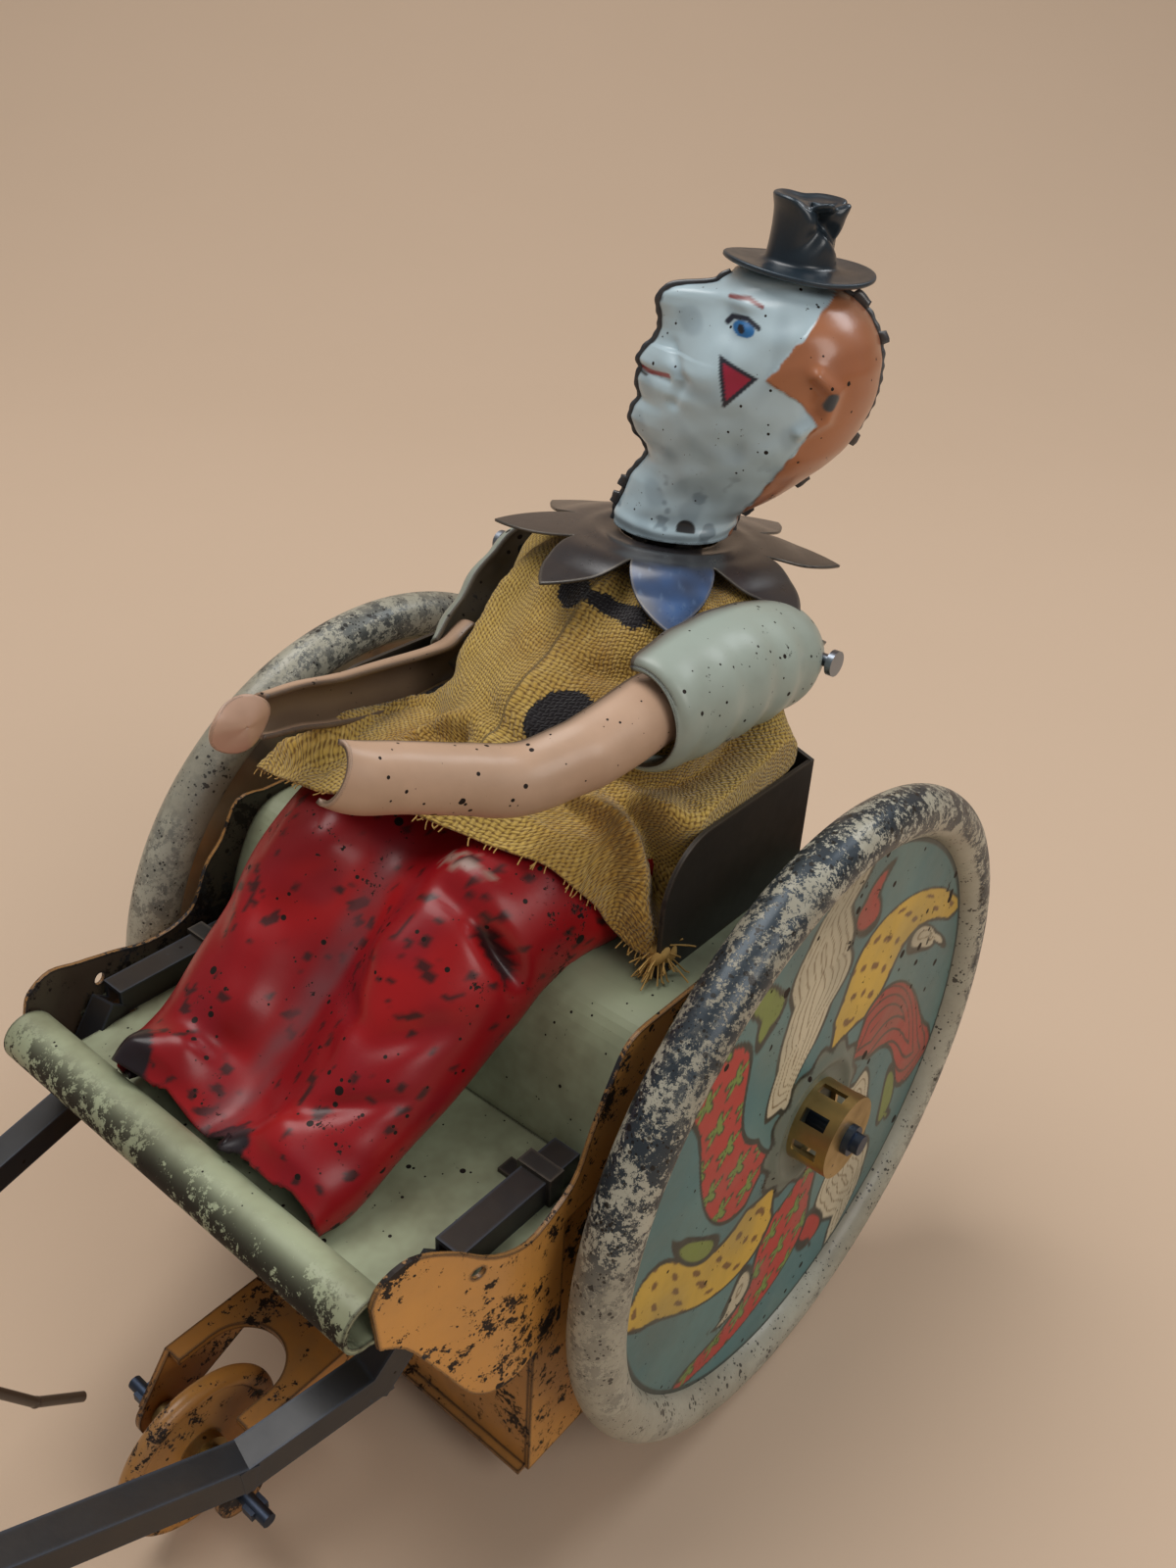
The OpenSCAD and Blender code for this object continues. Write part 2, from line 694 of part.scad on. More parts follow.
module winding_arbor() {
    color(steel) at_axle() translate([0, 0, inter_z]) {
        rod_x(arbor_d, -arbor_rear, arbor_front);
        rod_x(arbor_d + 1.6, arbor_front - 0.6, arbor_front);
        rod_x(arbor_d + 1.6, spring_x + 0.5, spring_x + spring_w - 0.5);
    }
}

module ratchet_wheel() {
    color(steel) at_axle() translate([0, 0, inter_z]) plate_x(ratchet_x, ratchet_x + 1.2) difference() {
        rotate(5) ratchet_plan();
        circle(d = arbor_d, $fn = 48);
    }
}

// Butterfly key behind the cart, between the two wheels
module winding_key() {
    wing = 9;
    color(steel) at_axle() translate([0, 0, inter_z]) difference() {
        union() {
            rod_x(arbor_d + 3, -arbor_rear - 1, -box_rear - 3);
            plate_x(-arbor_rear - 1, -arbor_rear + 0.4) {
                for (side = [-1, 1]) translate([side * (key_w - wing) / 2, 0]) circle(d = wing, $fn = 48);
                translate([-key_w / 2 + wing / 2, -2]) square([key_w - wing, 4]);
            }
        }
        rod_x(arbor_d, -arbor_rear, 0);
        for (side = [-1, 1]) translate([0, side * (key_w - wing) / 2, 0]) rod_x(3, -far, 0);
    }
}

module arbor_bracket() {
    color(steel) at_axle() difference() {
        union() {
            translate([bracket_x, -9, belly_top]) cube([0.8, 18, inter_z + 3 - belly_top]);
            translate([bracket_x - 5, -9, belly_top]) cube([5, 18, 0.8]);
        }
        translate([0, 0, inter_z]) rod_x(arbor_d + 2 * run_gap, -far, far);
    }
}

module arbor_bush() {
    color(brass) at_axle() translate([0, 0, inter_z]) difference() {
        union() {
            rod_x(arbor_d + 3, -box_rear - 1, -box_rear + 1.6);
            rod_x(arbor_d + 5, -box_rear + sheet, -box_rear + 1.6);
        }
        rod_x(arbor_d + 2 * run_gap, -far, far);
    }
}

// A flat spiral of steel strip, wound out from the arbor to its post
module mainspring() {
    r0 = arbor_d / 2 + 1.1;
    r1 = spring_d / 2;
    steps = 20 * spring_turns;
    t = 0.5;
    function at(i, d) = let (a = 360 * i / 20 - 90, r = r0 + (r1 - r0 - t) * i / steps + d) [r * cos(a), r * sin(a)];
    color(steel) at_axle() translate([0, 0, inter_z]) plate_x(spring_x, spring_x + spring_w)
        polygon(concat([for (i = [0 : steps]) at(i, 0)], [for (i = [steps : -1 : 0]) at(i, t)]));
}

module spring_post() {
    color(brass) at_axle() translate([spring_x + spring_w - 2, 0, belly_top])
        cylinder(h = inter_z - spring_d / 2 - 0.1 - belly_top, d = 3, $fn = 48);
}

module push_rod() {
    color(steel) at_axle() {
        translate([0, 0, rod_foot]) cylinder(h = core_foot - rest_gap - rod_foot, d = rod_d, $fn = 48);
        translate([0, 0, rod_foot]) cylinder(h = 1, d = rod_d + 3, $fn = 48);
    }
}

module toe_lugs() {
    color(tin_black) at_axle() for (side = [-1, 1]) on_side(side) difference() {
        plate_y(lug_y - 0.4, lug_y + 0.4) {
            translate([toe_x, toe_z]) circle(r = 1.4, $fn = 32);
            translate([toe_x - 0.9, floor_z - 1]) square([1.8, toe_z - floor_z + 1]);
        }
        translate([toe_x, 0, toe_z]) rod_y(toe_pin_d, -far, far);
    }
}

module toe_pin() {
    color(steel) at_axle() translate([toe_x, 0, toe_z]) rod_y(toe_pin_d, -knuckle_y - 3.4, knuckle_y + 3.4);
}

module toe_knuckles() {
    color(steel) at_axle() for (side = [-1, 1]) on_side(side) translate([toe_x, knuckle_y, toe_z]) difference() {
        union() {
            rod_y(toe_pin_d + 1.2, 0, 2.8);
            translate([-0.5, 0, 0.6]) cube([1, 2.8, 5]);
        }
        rod_y(toe_pin_d + 2 * run_gap, -far, far);
    }
}

module limb(a, ra, b, rb, fine) {
    hull() {
        translate(a) sphere(r = ra, $fn = fine);
        translate(b) sphere(r = rb, $fn = fine);
    }
}

// Both trouser legs as one pressing, grown by the given thickness
module leg_form(grow) {
    for (side = [-1, 1]) {
        hip = [6, side * 11, seat_z + 5.6];
        knee = [27.4, side * 11, seat_z + 2.6];
        shin = [38, side * 11, floor_z + 9.2];
        toe = [toe_x - 1.3, side * 7.6, floor_z + 3.7];
        limb(hip, 8.6 + grow, knee, 9.6 + grow, 24);
        limb(knee, 9.6 + grow, shin, 8.3 + grow, 24);
        limb(shin, 8.3 + grow, toe, 4.4 + grow, 24);
    }
    limb([6, -8, seat_z + 5.6], 8.2 + grow, [6, 8, seat_z + 5.6], 8.2 + grow, 24);
}

module clown_legs() {
    color(tin_red) at_axle() difference() {
        leg_form(0);
        leg_form(-skin);
        plate_y(-far, far) polygon(concat([[-far, -far], [far, -far], [far, floor_z + 0.9], [seat_foot + 0.5, floor_z + 0.9]],
            [for (i = [len(seat_line(0)) - 2 : -1 : 1]) seat_line(0)[i] + [0.9, 0.5]], [[-far, seat_z + 0.5]]));
        translate([toe_x - 1.9, -far, 0]) cube([3.8, 2 * far, toe_z + 1.6]);
        translate([-8, -4.4, core_foot + 0.6]) cube([10, 8.8, 20]);
        translate([-2.4, -2.4, 0]) cube([4.8, 4.8, core_foot]);
    }
}

// A bent tin strip from the seat plate up to the neck
module torso_core() {
    w = 8;
    t = 0.8;
    color(tin_grey) at_axle() difference() {
        union() {
            plate_y(-w / 2, w / 2) {
                translate([-1.8, core_foot]) square([12, t]);
                polygon([[-1.8, core_foot], [-0.6, core_foot + t], [back_x + 4, seat_z + back_rise + back_arch],
                    [shoulder[0] + 1.4, shoulder[1] + 1], [neck[0] + 1, neck[1] + 1.1], [neck[0] - 1, neck[1] + 1.1],
                    [shoulder[0] - 1.4, shoulder[1] - 1], [back_x + 2.6, seat_z + back_rise + back_arch]]);
            }
            translate([shoulder[0], 0, shoulder[1]]) rod_y(shoulder_d + 3, -w / 2, w / 2);
            translate([neck[0], 0, neck[1] - 2]) cylinder(h = head_foot + 4 - neck[1] + 2, d = peg_d, $fn = 64);
        }
        translate([shoulder[0], 0, shoulder[1]]) rod_y(shoulder_d, -far, far);
    }
}

module shoulder_wire() {
    color(steel) at_axle() translate([shoulder[0], 0, shoulder[1]]) {
        rod_y(shoulder_d, -arm_y - 6.2, arm_y + 6.2);
        for (side = [-1, 1]) on_side(side) rod_y(shoulder_d + 1.4, arm_y + 5.2 + rest_gap, arm_y + 6.2);
    }
}

// One level of the shirt: an oval at height z
module shirt_level(x, z, half_x, half_y) {
    translate([x, 0, z]) scale([half_x, half_y, 1]) cylinder(h = 0.2, r = 1, $fn = 36);
}

module shirt_form(inset) {
    waist = [5.2, seat_z + 14.8];
    hip = [6.4, seat_z + 13];
    hem = [7.6, seat_z + 4.5];
    hull() {
        shirt_level(neck[0] + 0.5, neck[1] - 2.4, 9.5 - inset, 12.5 - inset);
        shirt_level(-7, seat_z + 21, 11.4 - inset, 15.6 - inset);
        shirt_level(waist[0], waist[1], 12.4 - inset, 16.2 - inset);
    }
    hull() {
        shirt_level(waist[0], waist[1], 12.4 - inset, 16.2 - inset);
        shirt_level(hip[0], hip[1], 13 - inset, 18.6 - inset);
    }
    hull() {
        shirt_level(hip[0], hip[1], 13 - inset, 18.6 - inset);
        shirt_level(hem[0], hem[1], 15 - inset, 22.8 - inset);
    }
}

// The gathered shirt, open at the neck and at the hem, cut back over the lap and at the seat back
module shirt() {
    wall = 1;
    color(cloth) at_axle() difference() {
        shirt_form(0);
        shirt_form(wall);
        translate([4, -far, 0]) cube([far, 2 * far, seat_z + 15.2]);
        translate([7.6, 0, 0]) scale([14, 21.8, 1]) cylinder(h = seat_z + 5.2, r = 1, $fn = 36);
        translate([neck[0] + 0.5, 0, neck[1] - 3]) scale([8.5, 11.5, 1]) cylinder(h = 9, r = 1, $fn = 36);
        translate([shoulder[0], 0, shoulder[1]]) rod_y(shoulder_d + 0.8, -far, far);
        translate([-far, -far, 0]) cube([far + back_x + sheet + 0.4, 2 * far, seat_z + back_rise + back_arch + 0.4]);
    }
}

module collar() {
    ring = 0.62 * collar_d / 2;
    petal_w = 0.9 * PI * ring / petals;
    color(tin_black) at_axle() translate([neck[0], 0, neck[1]]) rotate([0, -collar_tilt, 0]) linear_extrude(sheet)
        difference() {
            union() {
                circle(r = ring, $fn = 96);
                for (i = [0 : petals - 1]) rotate(360 * i / petals) intersection() {
                    translate([0, petal_w * 0.9]) circle(r = collar_d / 2, $fn = 96);
                    translate([0, -petal_w * 0.9]) circle(r = collar_d / 2, $fn = 96);
                    translate([0, -petal_w]) square([collar_d / 2, 2 * petal_w]);
                }
            }
            circle(r = 5.4, $fn = 64);
        }
}

// The head's side view is given at heights, as distances ahead of the neck's middle.
// First the profile with its nose, lips and chin, then the plain face behind them
function profile_at(z) = lookup(z, [[96.9, 6.4], [98.5, 6.2], [100.4, 5.4], [102.4, 4.8], [103.6, 3.8],
    [104.8, 3], [106, 3.4], [107.2, 4.6], [108.7, 5.3], [109.9, 4.9], [110.8, 4.2], [111.8, 4.6], [112.8, 4.8],
    [113.8, 4.4], [114.8, 4.8], [115.8, 4.2], [117, 3.1], [118.2, 2.7], [119.4, 2.8], [120.6, 3.2], [121.6, 2.9],
    [122.2, 2], [122.6, 0.4], [122.9, -2.6], [123.5, -3.2], [124.1, -4.2]]);
function face_at(z) = lookup(z, [[96.9, 6.2], [100, 5], [103, 3.2], [106, 2.6], [110, 2.8], [114, 2], [118, -0.2],
    [121, -2], [123, -3.2], [124.1, -4.6]]);
function nape_at(z) = lookup(z, [[96.9, -6.9], [98.9, -7.3], [99.8, -8], [100.6, -9.4], [102, -11.6], [104, -14],
    [106, -16.3], [108, -18], [110, -19.1], [112, -19.9], [114.5, -20.3], [117, -20.2], [119, -19.6],
    [121, -18.4], [122.5, -16.6], [123.5, -14.8], [124.1, -13]]);
function cheek_at(z) = head_half / 11 * lookup(z, [[96.9, 6.3], [99, 6], [101, 6.5], [104, 7.7], [108, 9.7],
    [113, 10.9], [117, 11], [120, 10.1], [122.5, 8], [124.1, 6]]);

// One point of the head's skin: the turn runs from the face at 0 to the nape at 180 degrees
function head_point(z, turn, inset) = let (
    front = face_at(z) - inset,
    nape = nape_at(z) + inset,
    middle = (2 * front + 3 * nape) / 5,
    y = (cheek_at(z) - inset) * pow(sin(turn), 0.9),
    ahead = (profile_at(z) - face_at(z)) * exp(-y * y / (z > 116.5 ? 7 : 14)))
    turn < 90 ? [middle + (front - middle) * cos(turn) + ahead, y, z]
        : [middle + (middle - nape) * cos(turn), turn < 180 ? y : 0, z];

function head_skin(inset) = [for (k = [0 : head_levels], i = [0 : head_steps])
    let (t = k / head_levels, z = head_foot + (head_top - inset - head_foot) * t)
    head_point(z, 180 * i / head_steps, inset)];

module head(side) {
    row = head_steps + 1;
    count = row * (head_levels + 1);
    top = row * head_levels;
    walls = [for (k = [0 : head_levels - 1], i = [0 : head_steps - 1]) let (a = k * row + i) [a, a + row, a + row + 1, a + 1]];
    cap = [for (i = [0 : head_steps]) top + head_steps - i];
    inside = [for (f = concat(walls, [cap])) [for (q = [len(f) - 1 : -1 : 0]) f[q] + count]];
    seam = [for (k = [0 : head_levels - 1]) let (a = k * row) [a, a + count, a + row + count, a + row]];
    nape_seam = [for (k = [0 : head_levels - 1]) let (a = k * row + head_steps) [a, a + row, a + row + count, a + count]];
    foot = [for (i = [0 : head_steps - 1]) [i, i + 1, i + 1 + count, i + count]];
    crown = [[top, top + count, top + head_steps + count, top + head_steps]];
    color(tin_white) at_axle() translate([neck[0], 0, 0]) rotate([0, 0, -head_turn]) on_side(side)
        polyhedron(concat(head_skin(0), head_skin(skin)), concat(walls, [cap], inside, seam, nape_seam, foot, crown),
            convexity = 6);
}

module head_left() {
    head(1);
}

module head_right() {
    head(-1);
}

// A ring in the neck that turns on the peg of the torso
module neck_ring() {
    color(brass) at_axle() translate([neck[0], 0, head_foot]) difference() {
        cylinder(h = 3, d = 10.6, $fn = 64);
        translate([0, 0, -1]) cylinder(h = 5, d = peg_d + 2 * run_gap, $fn = 64);
    }
}

// The hat stands on the flat of the head with a short post inside
module hat() {
    crown = brim_d * 0.23;
    t = 0.5;
    color(tin_black) at_axle() translate([neck[0], 0, 0]) rotate([0, 0, -head_turn]) translate([hat_at[0], 0, 0]) {
        translate([0, 0, hat_at[1]]) rotate([0, -hat_tilt, 0]) rotate_extrude($fn = 72) difference() {
            union() {
                square([brim_d / 2, t]);
                square([crown, hat_h - 1]);
            }
            translate([-1, -1]) square([crown + 1 - t, hat_h - t]);
        }
        translate([0, 0, head_top]) cylinder(h = hat_h - 0.7, d = 2, $fn = 32);
    }
}

// Sleeve and forearm in one shell, open towards the body, turning on the shoulder wire
module arm(side, elbow, wrist, hand) {
    top = [shoulder[0], arm_y, shoulder[1] - 0.6];
    color(flesh) at_axle() on_side(side) {
        difference() {
            union() {
                limb(top, 5.2, elbow, 4.8, 18);
                limb(elbow, 3.4, wrist, 2.5, 16);
                limb(wrist, 2.5, hand, 2.9, 16);
            }
            limb(top, 5.2 - skin, elbow, 4.8 - skin, 18);
            limb(elbow, 3.4 - skin, wrist, 2.5 - skin, 16);
            limb(wrist, 2.5 - skin, hand, 2.9 - skin, 16);
            linear_extrude(far) polygon([[-far, -far], [-far, arm_y - 1.2], [elbow[0], arm_y - 1.2],
                [wrist[0], wrist[1] - 1.2], [hand[0] + 5, hand[1] - 1.2], [hand[0] + 5, -far]]);
            translate([shoulder[0], 0, shoulder[1]]) rod_y(shoulder_d + 2, 0, far);
        }
        translate([shoulder[0], 0, shoulder[1]]) difference() {
            rod_y(shoulder_d + 2, arm_y - 1.2, arm_y + 5.2);
            rod_y(shoulder_d + 2 * run_gap, 0, far);
        }
    }
}

module arm_left() {
    arm(1, [12, arm_y - 0.6, 88.2], [36, 12.6, 89.4], [43, 9, 90.4]);
}

module arm_right() {
    arm(-1, [4, arm_y - 0.6, 83.8], [26, 13.5, 84.6], [35, 12.5, 85.2]);
}

module mule_pivot_pin() {
    end = eye_y + eye_t;
    color(steel) at_axle() translate([pivot_x, 0, pivot_z]) {
        rod_y(pivot_d, -end - 1, end + 1);
        for (side = [-1, 1]) on_side(side) rod_y(pivot_d + 1.8, end, end + 1);
    }
}

module mule_bush() {
    color(brass) at_axle() translate([pivot_x, 0, pivot_z]) difference() {
        rod_y(pivot_d + 2.4, -mule_half - 0.9, mule_half + 0.9);
        rod_y(pivot_d + 2 * run_gap, -far, far);
    }
}

// The mule's barrel, neck, head and legs about its pivot, grown by the given thickness
module mule_form(grow) {
    rump = [-17, 0, 4.6];
    chest = [12, 0, 5.2];
    poll = [25.5, 0, 20];
    muzzle = [mule_reach - 4, 0, 7.4];
    hoof_z = -pivot_z + 7.6;
    flat = mule_half / 9.4;
    scale([1, flat, 1]) {
        limb(rump, 9 + grow, chest, 9.2 + grow, 20);
        limb(chest, 8 + grow, poll, 5.2 + grow, 16);
        limb(poll, 5.4 + grow, muzzle, 4 + grow, 16);
        for (x = [14, -20]) {
            knee = [x + 2, 4.6, -17];
            limb([x, 3.4, -1], 5.6 + grow, knee, 3 + grow, 14);
            limb(knee, 3 + grow, [x - 0.5, 4.8, hoof_z], 2.8 + grow, 14);
        }
    }
}

module mule_half_shell(side) {
    color(mule_brown) at_axle() translate([pivot_x, 0, pivot_z]) on_side(side) difference() {
        mule_form(0);
        mule_form(-skin);
        translate([-far, -2 * far, -far]) cube([2 * far, 2 * far, 2 * far]);
        translate([-far, 0, -far]) cube([2 * far, far, far - pivot_z + 6]);
        rod_y(pivot_d + 2.4, 0, far);
    }
}

module mule_half_left() {
    mule_half_shell(1);
}

module mule_half_right() {
    mule_half_shell(-1);
}

module mule_ears() {
    color(mule_brown) at_axle() translate([pivot_x, 0, pivot_z]) for (side = [-1, 1]) on_side(side) hull() {
        translate([22.5, 2.6, 24.6]) sphere(r = 1.2, $fn = 14);
        translate([18.5, 5, 31]) sphere(r = 1.7, $fn = 14);
        translate([13.5, 7, 37]) sphere(r = 0.6, $fn = 14);
    }
}

// A stiff thin tail that curves down and back from the rump
module mule_tail() {
    points = [[-25.4, 8.4], [-28.6, 6.4], [-31, 2.4], [-32.2, -3], [-34, -9], [-37.2, -14.2], [-41.4, -18]];
    tail_r = 0.5;
    color(mule_brown) at_axle() translate([pivot_x, 0, pivot_z]) for (i = [0 : len(points) - 2]) {
        a = points[i];
        d = points[i + 1] - a;
        translate([a[0], 0, a[1]]) {
            rotate([0, 90 - atan2(d[1], d[0]), 0]) cylinder(h = norm(d), r = tail_r, $fn = 24);
            sphere(r = tail_r + 0.06, $fn = 24);
        }
    }
}

floor_and_seat();
seat_back();
side_panel_left();
side_panel_right();
belly_wrap();
shaft_left();
shaft_right();
shaft_clips();
front_fork();
front_axle();
front_wheel();
front_hub();
drive_axle();
wheel_left();
wheel_right();
hub_cage_left();
hub_cage_right();
wheel_collars();
axle_bushes();
axle_pinion();
bounce_cam();
motor_plate_left();
motor_plate_right();
plate_pillars();
intermediate_arbor();
intermediate_wheel();
intermediate_pinion();
great_wheel();
pawl_pin();
pawl();
winding_arbor();
ratchet_wheel();
winding_key();
arbor_bracket();
arbor_bush();
mainspring();
spring_post();
push_rod();
toe_lugs();
toe_pin();
toe_knuckles();
clown_legs();
torso_core();
shoulder_wire();
shirt();
collar();
head_left();
head_right();
neck_ring();
hat();
arm_left();
arm_right();
mule_pivot_pin();
mule_bush();
mule_half_left();
mule_half_right();
mule_ears();
mule_tail();
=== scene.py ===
import bpy
import numpy as np
from mathutils import Matrix, Vector


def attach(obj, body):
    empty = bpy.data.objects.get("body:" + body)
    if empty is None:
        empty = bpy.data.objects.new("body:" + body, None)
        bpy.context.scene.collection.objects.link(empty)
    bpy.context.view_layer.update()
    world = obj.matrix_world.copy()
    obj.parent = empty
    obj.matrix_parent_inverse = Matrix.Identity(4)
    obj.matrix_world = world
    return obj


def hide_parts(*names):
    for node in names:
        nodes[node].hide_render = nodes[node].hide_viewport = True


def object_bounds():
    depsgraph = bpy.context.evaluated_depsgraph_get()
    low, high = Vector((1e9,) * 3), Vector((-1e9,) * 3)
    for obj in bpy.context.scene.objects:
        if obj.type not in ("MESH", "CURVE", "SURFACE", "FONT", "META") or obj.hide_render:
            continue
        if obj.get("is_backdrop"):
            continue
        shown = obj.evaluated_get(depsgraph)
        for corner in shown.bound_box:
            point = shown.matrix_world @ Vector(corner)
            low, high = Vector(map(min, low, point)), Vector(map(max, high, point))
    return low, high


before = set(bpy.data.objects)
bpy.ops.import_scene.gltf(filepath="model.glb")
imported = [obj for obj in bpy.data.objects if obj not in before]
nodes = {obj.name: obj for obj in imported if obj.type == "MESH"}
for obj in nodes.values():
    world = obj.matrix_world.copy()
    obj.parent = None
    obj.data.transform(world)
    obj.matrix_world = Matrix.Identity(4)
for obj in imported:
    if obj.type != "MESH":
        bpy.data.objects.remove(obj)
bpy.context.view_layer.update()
scene = bpy.context.scene
print("frame loaded:", len(nodes), "nodes")

# Places are counted in millimetres from the drive axle, as in the CAD source
axleX = -56
perMetre = 1000


# Millimetres from the axle to metres in the shared frame
def toFrame(points):
    return (np.asarray(points, float) + [axleX, 0, 0]) / perMetre


# An object at the origin from points in millimetres and a list of faces
def makePiece(name, points, faces, smooth=True):
    mesh = bpy.data.meshes.new(name)
    mesh.from_pydata(toFrame(points).tolist(), [], faces.tolist() if isinstance(faces, np.ndarray) else faces)
    mesh.polygons.foreach_set("use_smooth", np.full(len(mesh.polygons), smooth))
    mesh.update()
    return linked(bpy.data.objects.new(name, mesh))


# Puts an object in the scene and hands it back
def linked(piece):
    scene.collection.objects.link(piece)
    return piece


# Four-sided faces between the points of a grid, row by row; wrap joins the last column to the first
def gridFaces(rows, cols, wrap=False):
    i, j = np.meshgrid(np.arange(rows - 1), np.arange(cols if wrap else cols - 1), indexing="ij")
    k = (j + 1) % cols
    return np.stack([i * cols + j, i * cols + k, (i + 1) * cols + k, (i + 1) * cols + j], -1).reshape(-1, 4)


# A surface over a grid of points, rows by columns; flip turns its faces round
def gridPiece(name, grid, wrap=False, flip=False):
    faces = gridFaces(*grid.shape[:2], wrap)
    return makePiece(name, grid.reshape(-1, 3), faces[:, ::-1] if flip else faces)


# One colour for each point, read by the materials as an attribute
def storeColour(piece, name, values):
    rgba = np.ones((len(piece.data.vertices), 4), np.float32)
    rgba[:, :3] = values.reshape(-1, 3)
    piece.data.color_attributes.new(name, "FLOAT_COLOR", "POINT").data.foreach_set("color", rgba.ravel())


# One value for each point
def storeValue(piece, name, values):
    piece.data.attributes.new(name, "FLOAT", "POINT").data.foreach_set("value", values.astype(np.float32).ravel())


# Gives a surface its sheet's thickness in millimetres, inwards at an offset of minus one
def solidify(piece, thickness, offset=-1.0):
    shell = piece.modifiers.new("sheet", "SOLIDIFY")
    shell.thickness, shell.offset = thickness / perMetre, offset


# Gives a piece its one material
def cover(piece, material):
    piece.data.materials.clear()
    piece.data.materials.append(material)


# Sets the body a piece moves with, its material and the CAD nodes that it takes the place of; the slot is not used
def place(piece, body, slot, material, *replaced):
    cover(piece, material)
    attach(piece, body)
    if replaced:
        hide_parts(*replaced)


# Vectors over their own lengths
def unit(vectors):
    return vectors / np.linalg.norm(vectors, axis=-1, keepdims=True)


# Even angles round a full turn
def fullTurn(count):
    return np.linspace(0, 2 * np.pi, count, endpoint=False)


# A hump that falls off as the exponential of minus the square of the distance over the width
def bell(distance, width):
    return np.exp(-((distance / width) ** 2))


# From 0 at low to 1 at high, three times the square of the share less twice its cube
def step(value, low, high):
    t = np.clip((value - low) / (high - low), 0, 1)
    return t * t * (3 - 2 * t)


# 1 between low and high, with soft edges
def inBand(value, low, high, soft=0.12):
    return step(value, low - soft, low + soft) * (1 - step(value, high - soft, high + soft))


# A smooth curve through knots of any shape, at even steps from knot to knot: cubics whose slope at each knot is half
# the step between the knots beside it
def smoothLine(knots, count):
    k = np.asarray(knots, float)
    k = np.concatenate([2 * k[:1] - k[1:2], k, 2 * k[-1:] - k[-2:-1]])
    t = np.linspace(0, len(k) - 3 - 1e-9, count)
    i = t.astype(int)
    f = (t - i).reshape(-1, *[1] * (k.ndim - 1))
    a, b, c, d = k[i], k[i + 1], k[i + 2], k[i + 3]
    return 0.5 * (2 * b + (c - a) * f + (2 * a - 5 * b + 4 * c - d) * f**2 + (3 * b - a - 3 * c + d) * f**3)


# A smooth random field, the mean of a few sine waves, with features about size wide
def wobble(p, size, seed, waves=7):
    rng = np.random.default_rng(seed)
    total = np.zeros(p.shape[:-1])
    for _ in range(waves):
        way = rng.normal(size=3)
        way *= rng.uniform(0.7, 1.5) * 2 * np.pi / size / np.linalg.norm(way)
        total += np.sin(p @ way + rng.uniform(0, 6.28))
    return total / waves


# Normals of a grid, the cross product of its two slopes, turned away from a point inside as seen at one place
def gridNormals(grid, at, inside, wrap=False):
    across = np.roll(grid, -1, 1) - np.roll(grid, 1, 1) if wrap else np.gradient(grid, axis=1)
    n = np.cross(across, np.gradient(grid, axis=0))
    n = n / np.maximum(np.linalg.norm(n, axis=-1, keepdims=True), 1e-9)
    return n * np.sign(n[at] @ (grid[at] - inside))


# Colours laid one over another, each a tone and where it covers, from 0 to 1
def layered(ground, *coats):
    colour = ground
    for tone, mask in coats:
        colour = np.asarray(colour) * (1 - mask[..., None]) + np.asarray(tone) * mask[..., None]
    return colour


# Distance from points to a straight line between two ends, and how far along it the nearest place is
def toLine(p, one, two):
    one, two = np.asarray(one, float), np.asarray(two, float)
    way = two - one
    share = np.clip((p - one) @ way / (way @ way), 0, 1)
    return np.linalg.norm(p - one - share[..., None] * way, axis=-1), share


# Distance to the nearest of some round cones, each given as two ends and two radii
def coneDistance(p, cones):
    best = np.full(p.shape[:-1], 1e9)
    for a, ra, b, rb in cones:
        distance, share = toLine(p, a, b)
        best = np.minimum(best, distance - (ra + (rb - ra) * share))
    return best


# A round cone turned about its own axis: two half balls joined by a straight wall, with a point at each pole
def roundCone(a, ra, b, rb, cols=36, rows=14):
    a, b = np.asarray(a, float), np.asarray(b, float)
    axis = unit(b - a)
    side = unit(np.cross(axis, [0.31, 0.9, 0.2]))
    other = np.cross(axis, side)
    low, high = np.linspace(-np.pi / 2 + 0.02, 0, rows), np.linspace(0, np.pi / 2 - 0.02, rows)
    reach = np.concatenate([ra * np.sin(low), np.linalg.norm(b - a) + rb * np.sin(high)])[:, None, None]
    radius = np.concatenate([ra * np.cos(low), rb * np.cos(high)])[:, None, None]
    turn = fullTurn(cols)[None, :, None]
    grid = a + reach * axis + radius * (np.cos(turn) * side + np.sin(turn) * other)
    count, ring = grid.shape[0] * cols, np.arange(cols)
    foot = np.stack([np.full(cols, count), (ring + 1) % cols, ring], -1)
    tip = np.stack([np.full(cols, count + 1), count - cols + ring, count - cols + (ring + 1) % cols], -1)
    points = np.vstack([grid.reshape(-1, 3), a - ra * axis, b + rb * axis])
    return points, gridFaces(2 * rows, cols, True).tolist() + foot.tolist() + tip.tolist()


# Tubes of one radius along many paths of equal point counts: circles square to each path
def tubes(paths, radius, cols):
    n, m, _ = paths.shape
    along = unit(np.gradient(paths, axis=1))
    side = unit(np.cross(along, [0.23, 0.31, 0.92]))
    other = np.cross(along, side)
    turn = fullTurn(cols)[:, None]
    rings = paths[:, :, None] + radius * (np.cos(turn) * side[:, :, None] + np.sin(turn) * other[:, :, None])
    faces = gridFaces(m, cols, True)[None] + (np.arange(n) * m * cols)[:, None, None]
    return rings.reshape(-1, 3), faces.reshape(-1, 4)


# A colour with its alpha; a node's output is left as it is
def rgba(colour):
    return (*colour, 1.0) if isinstance(colour, tuple) else colour


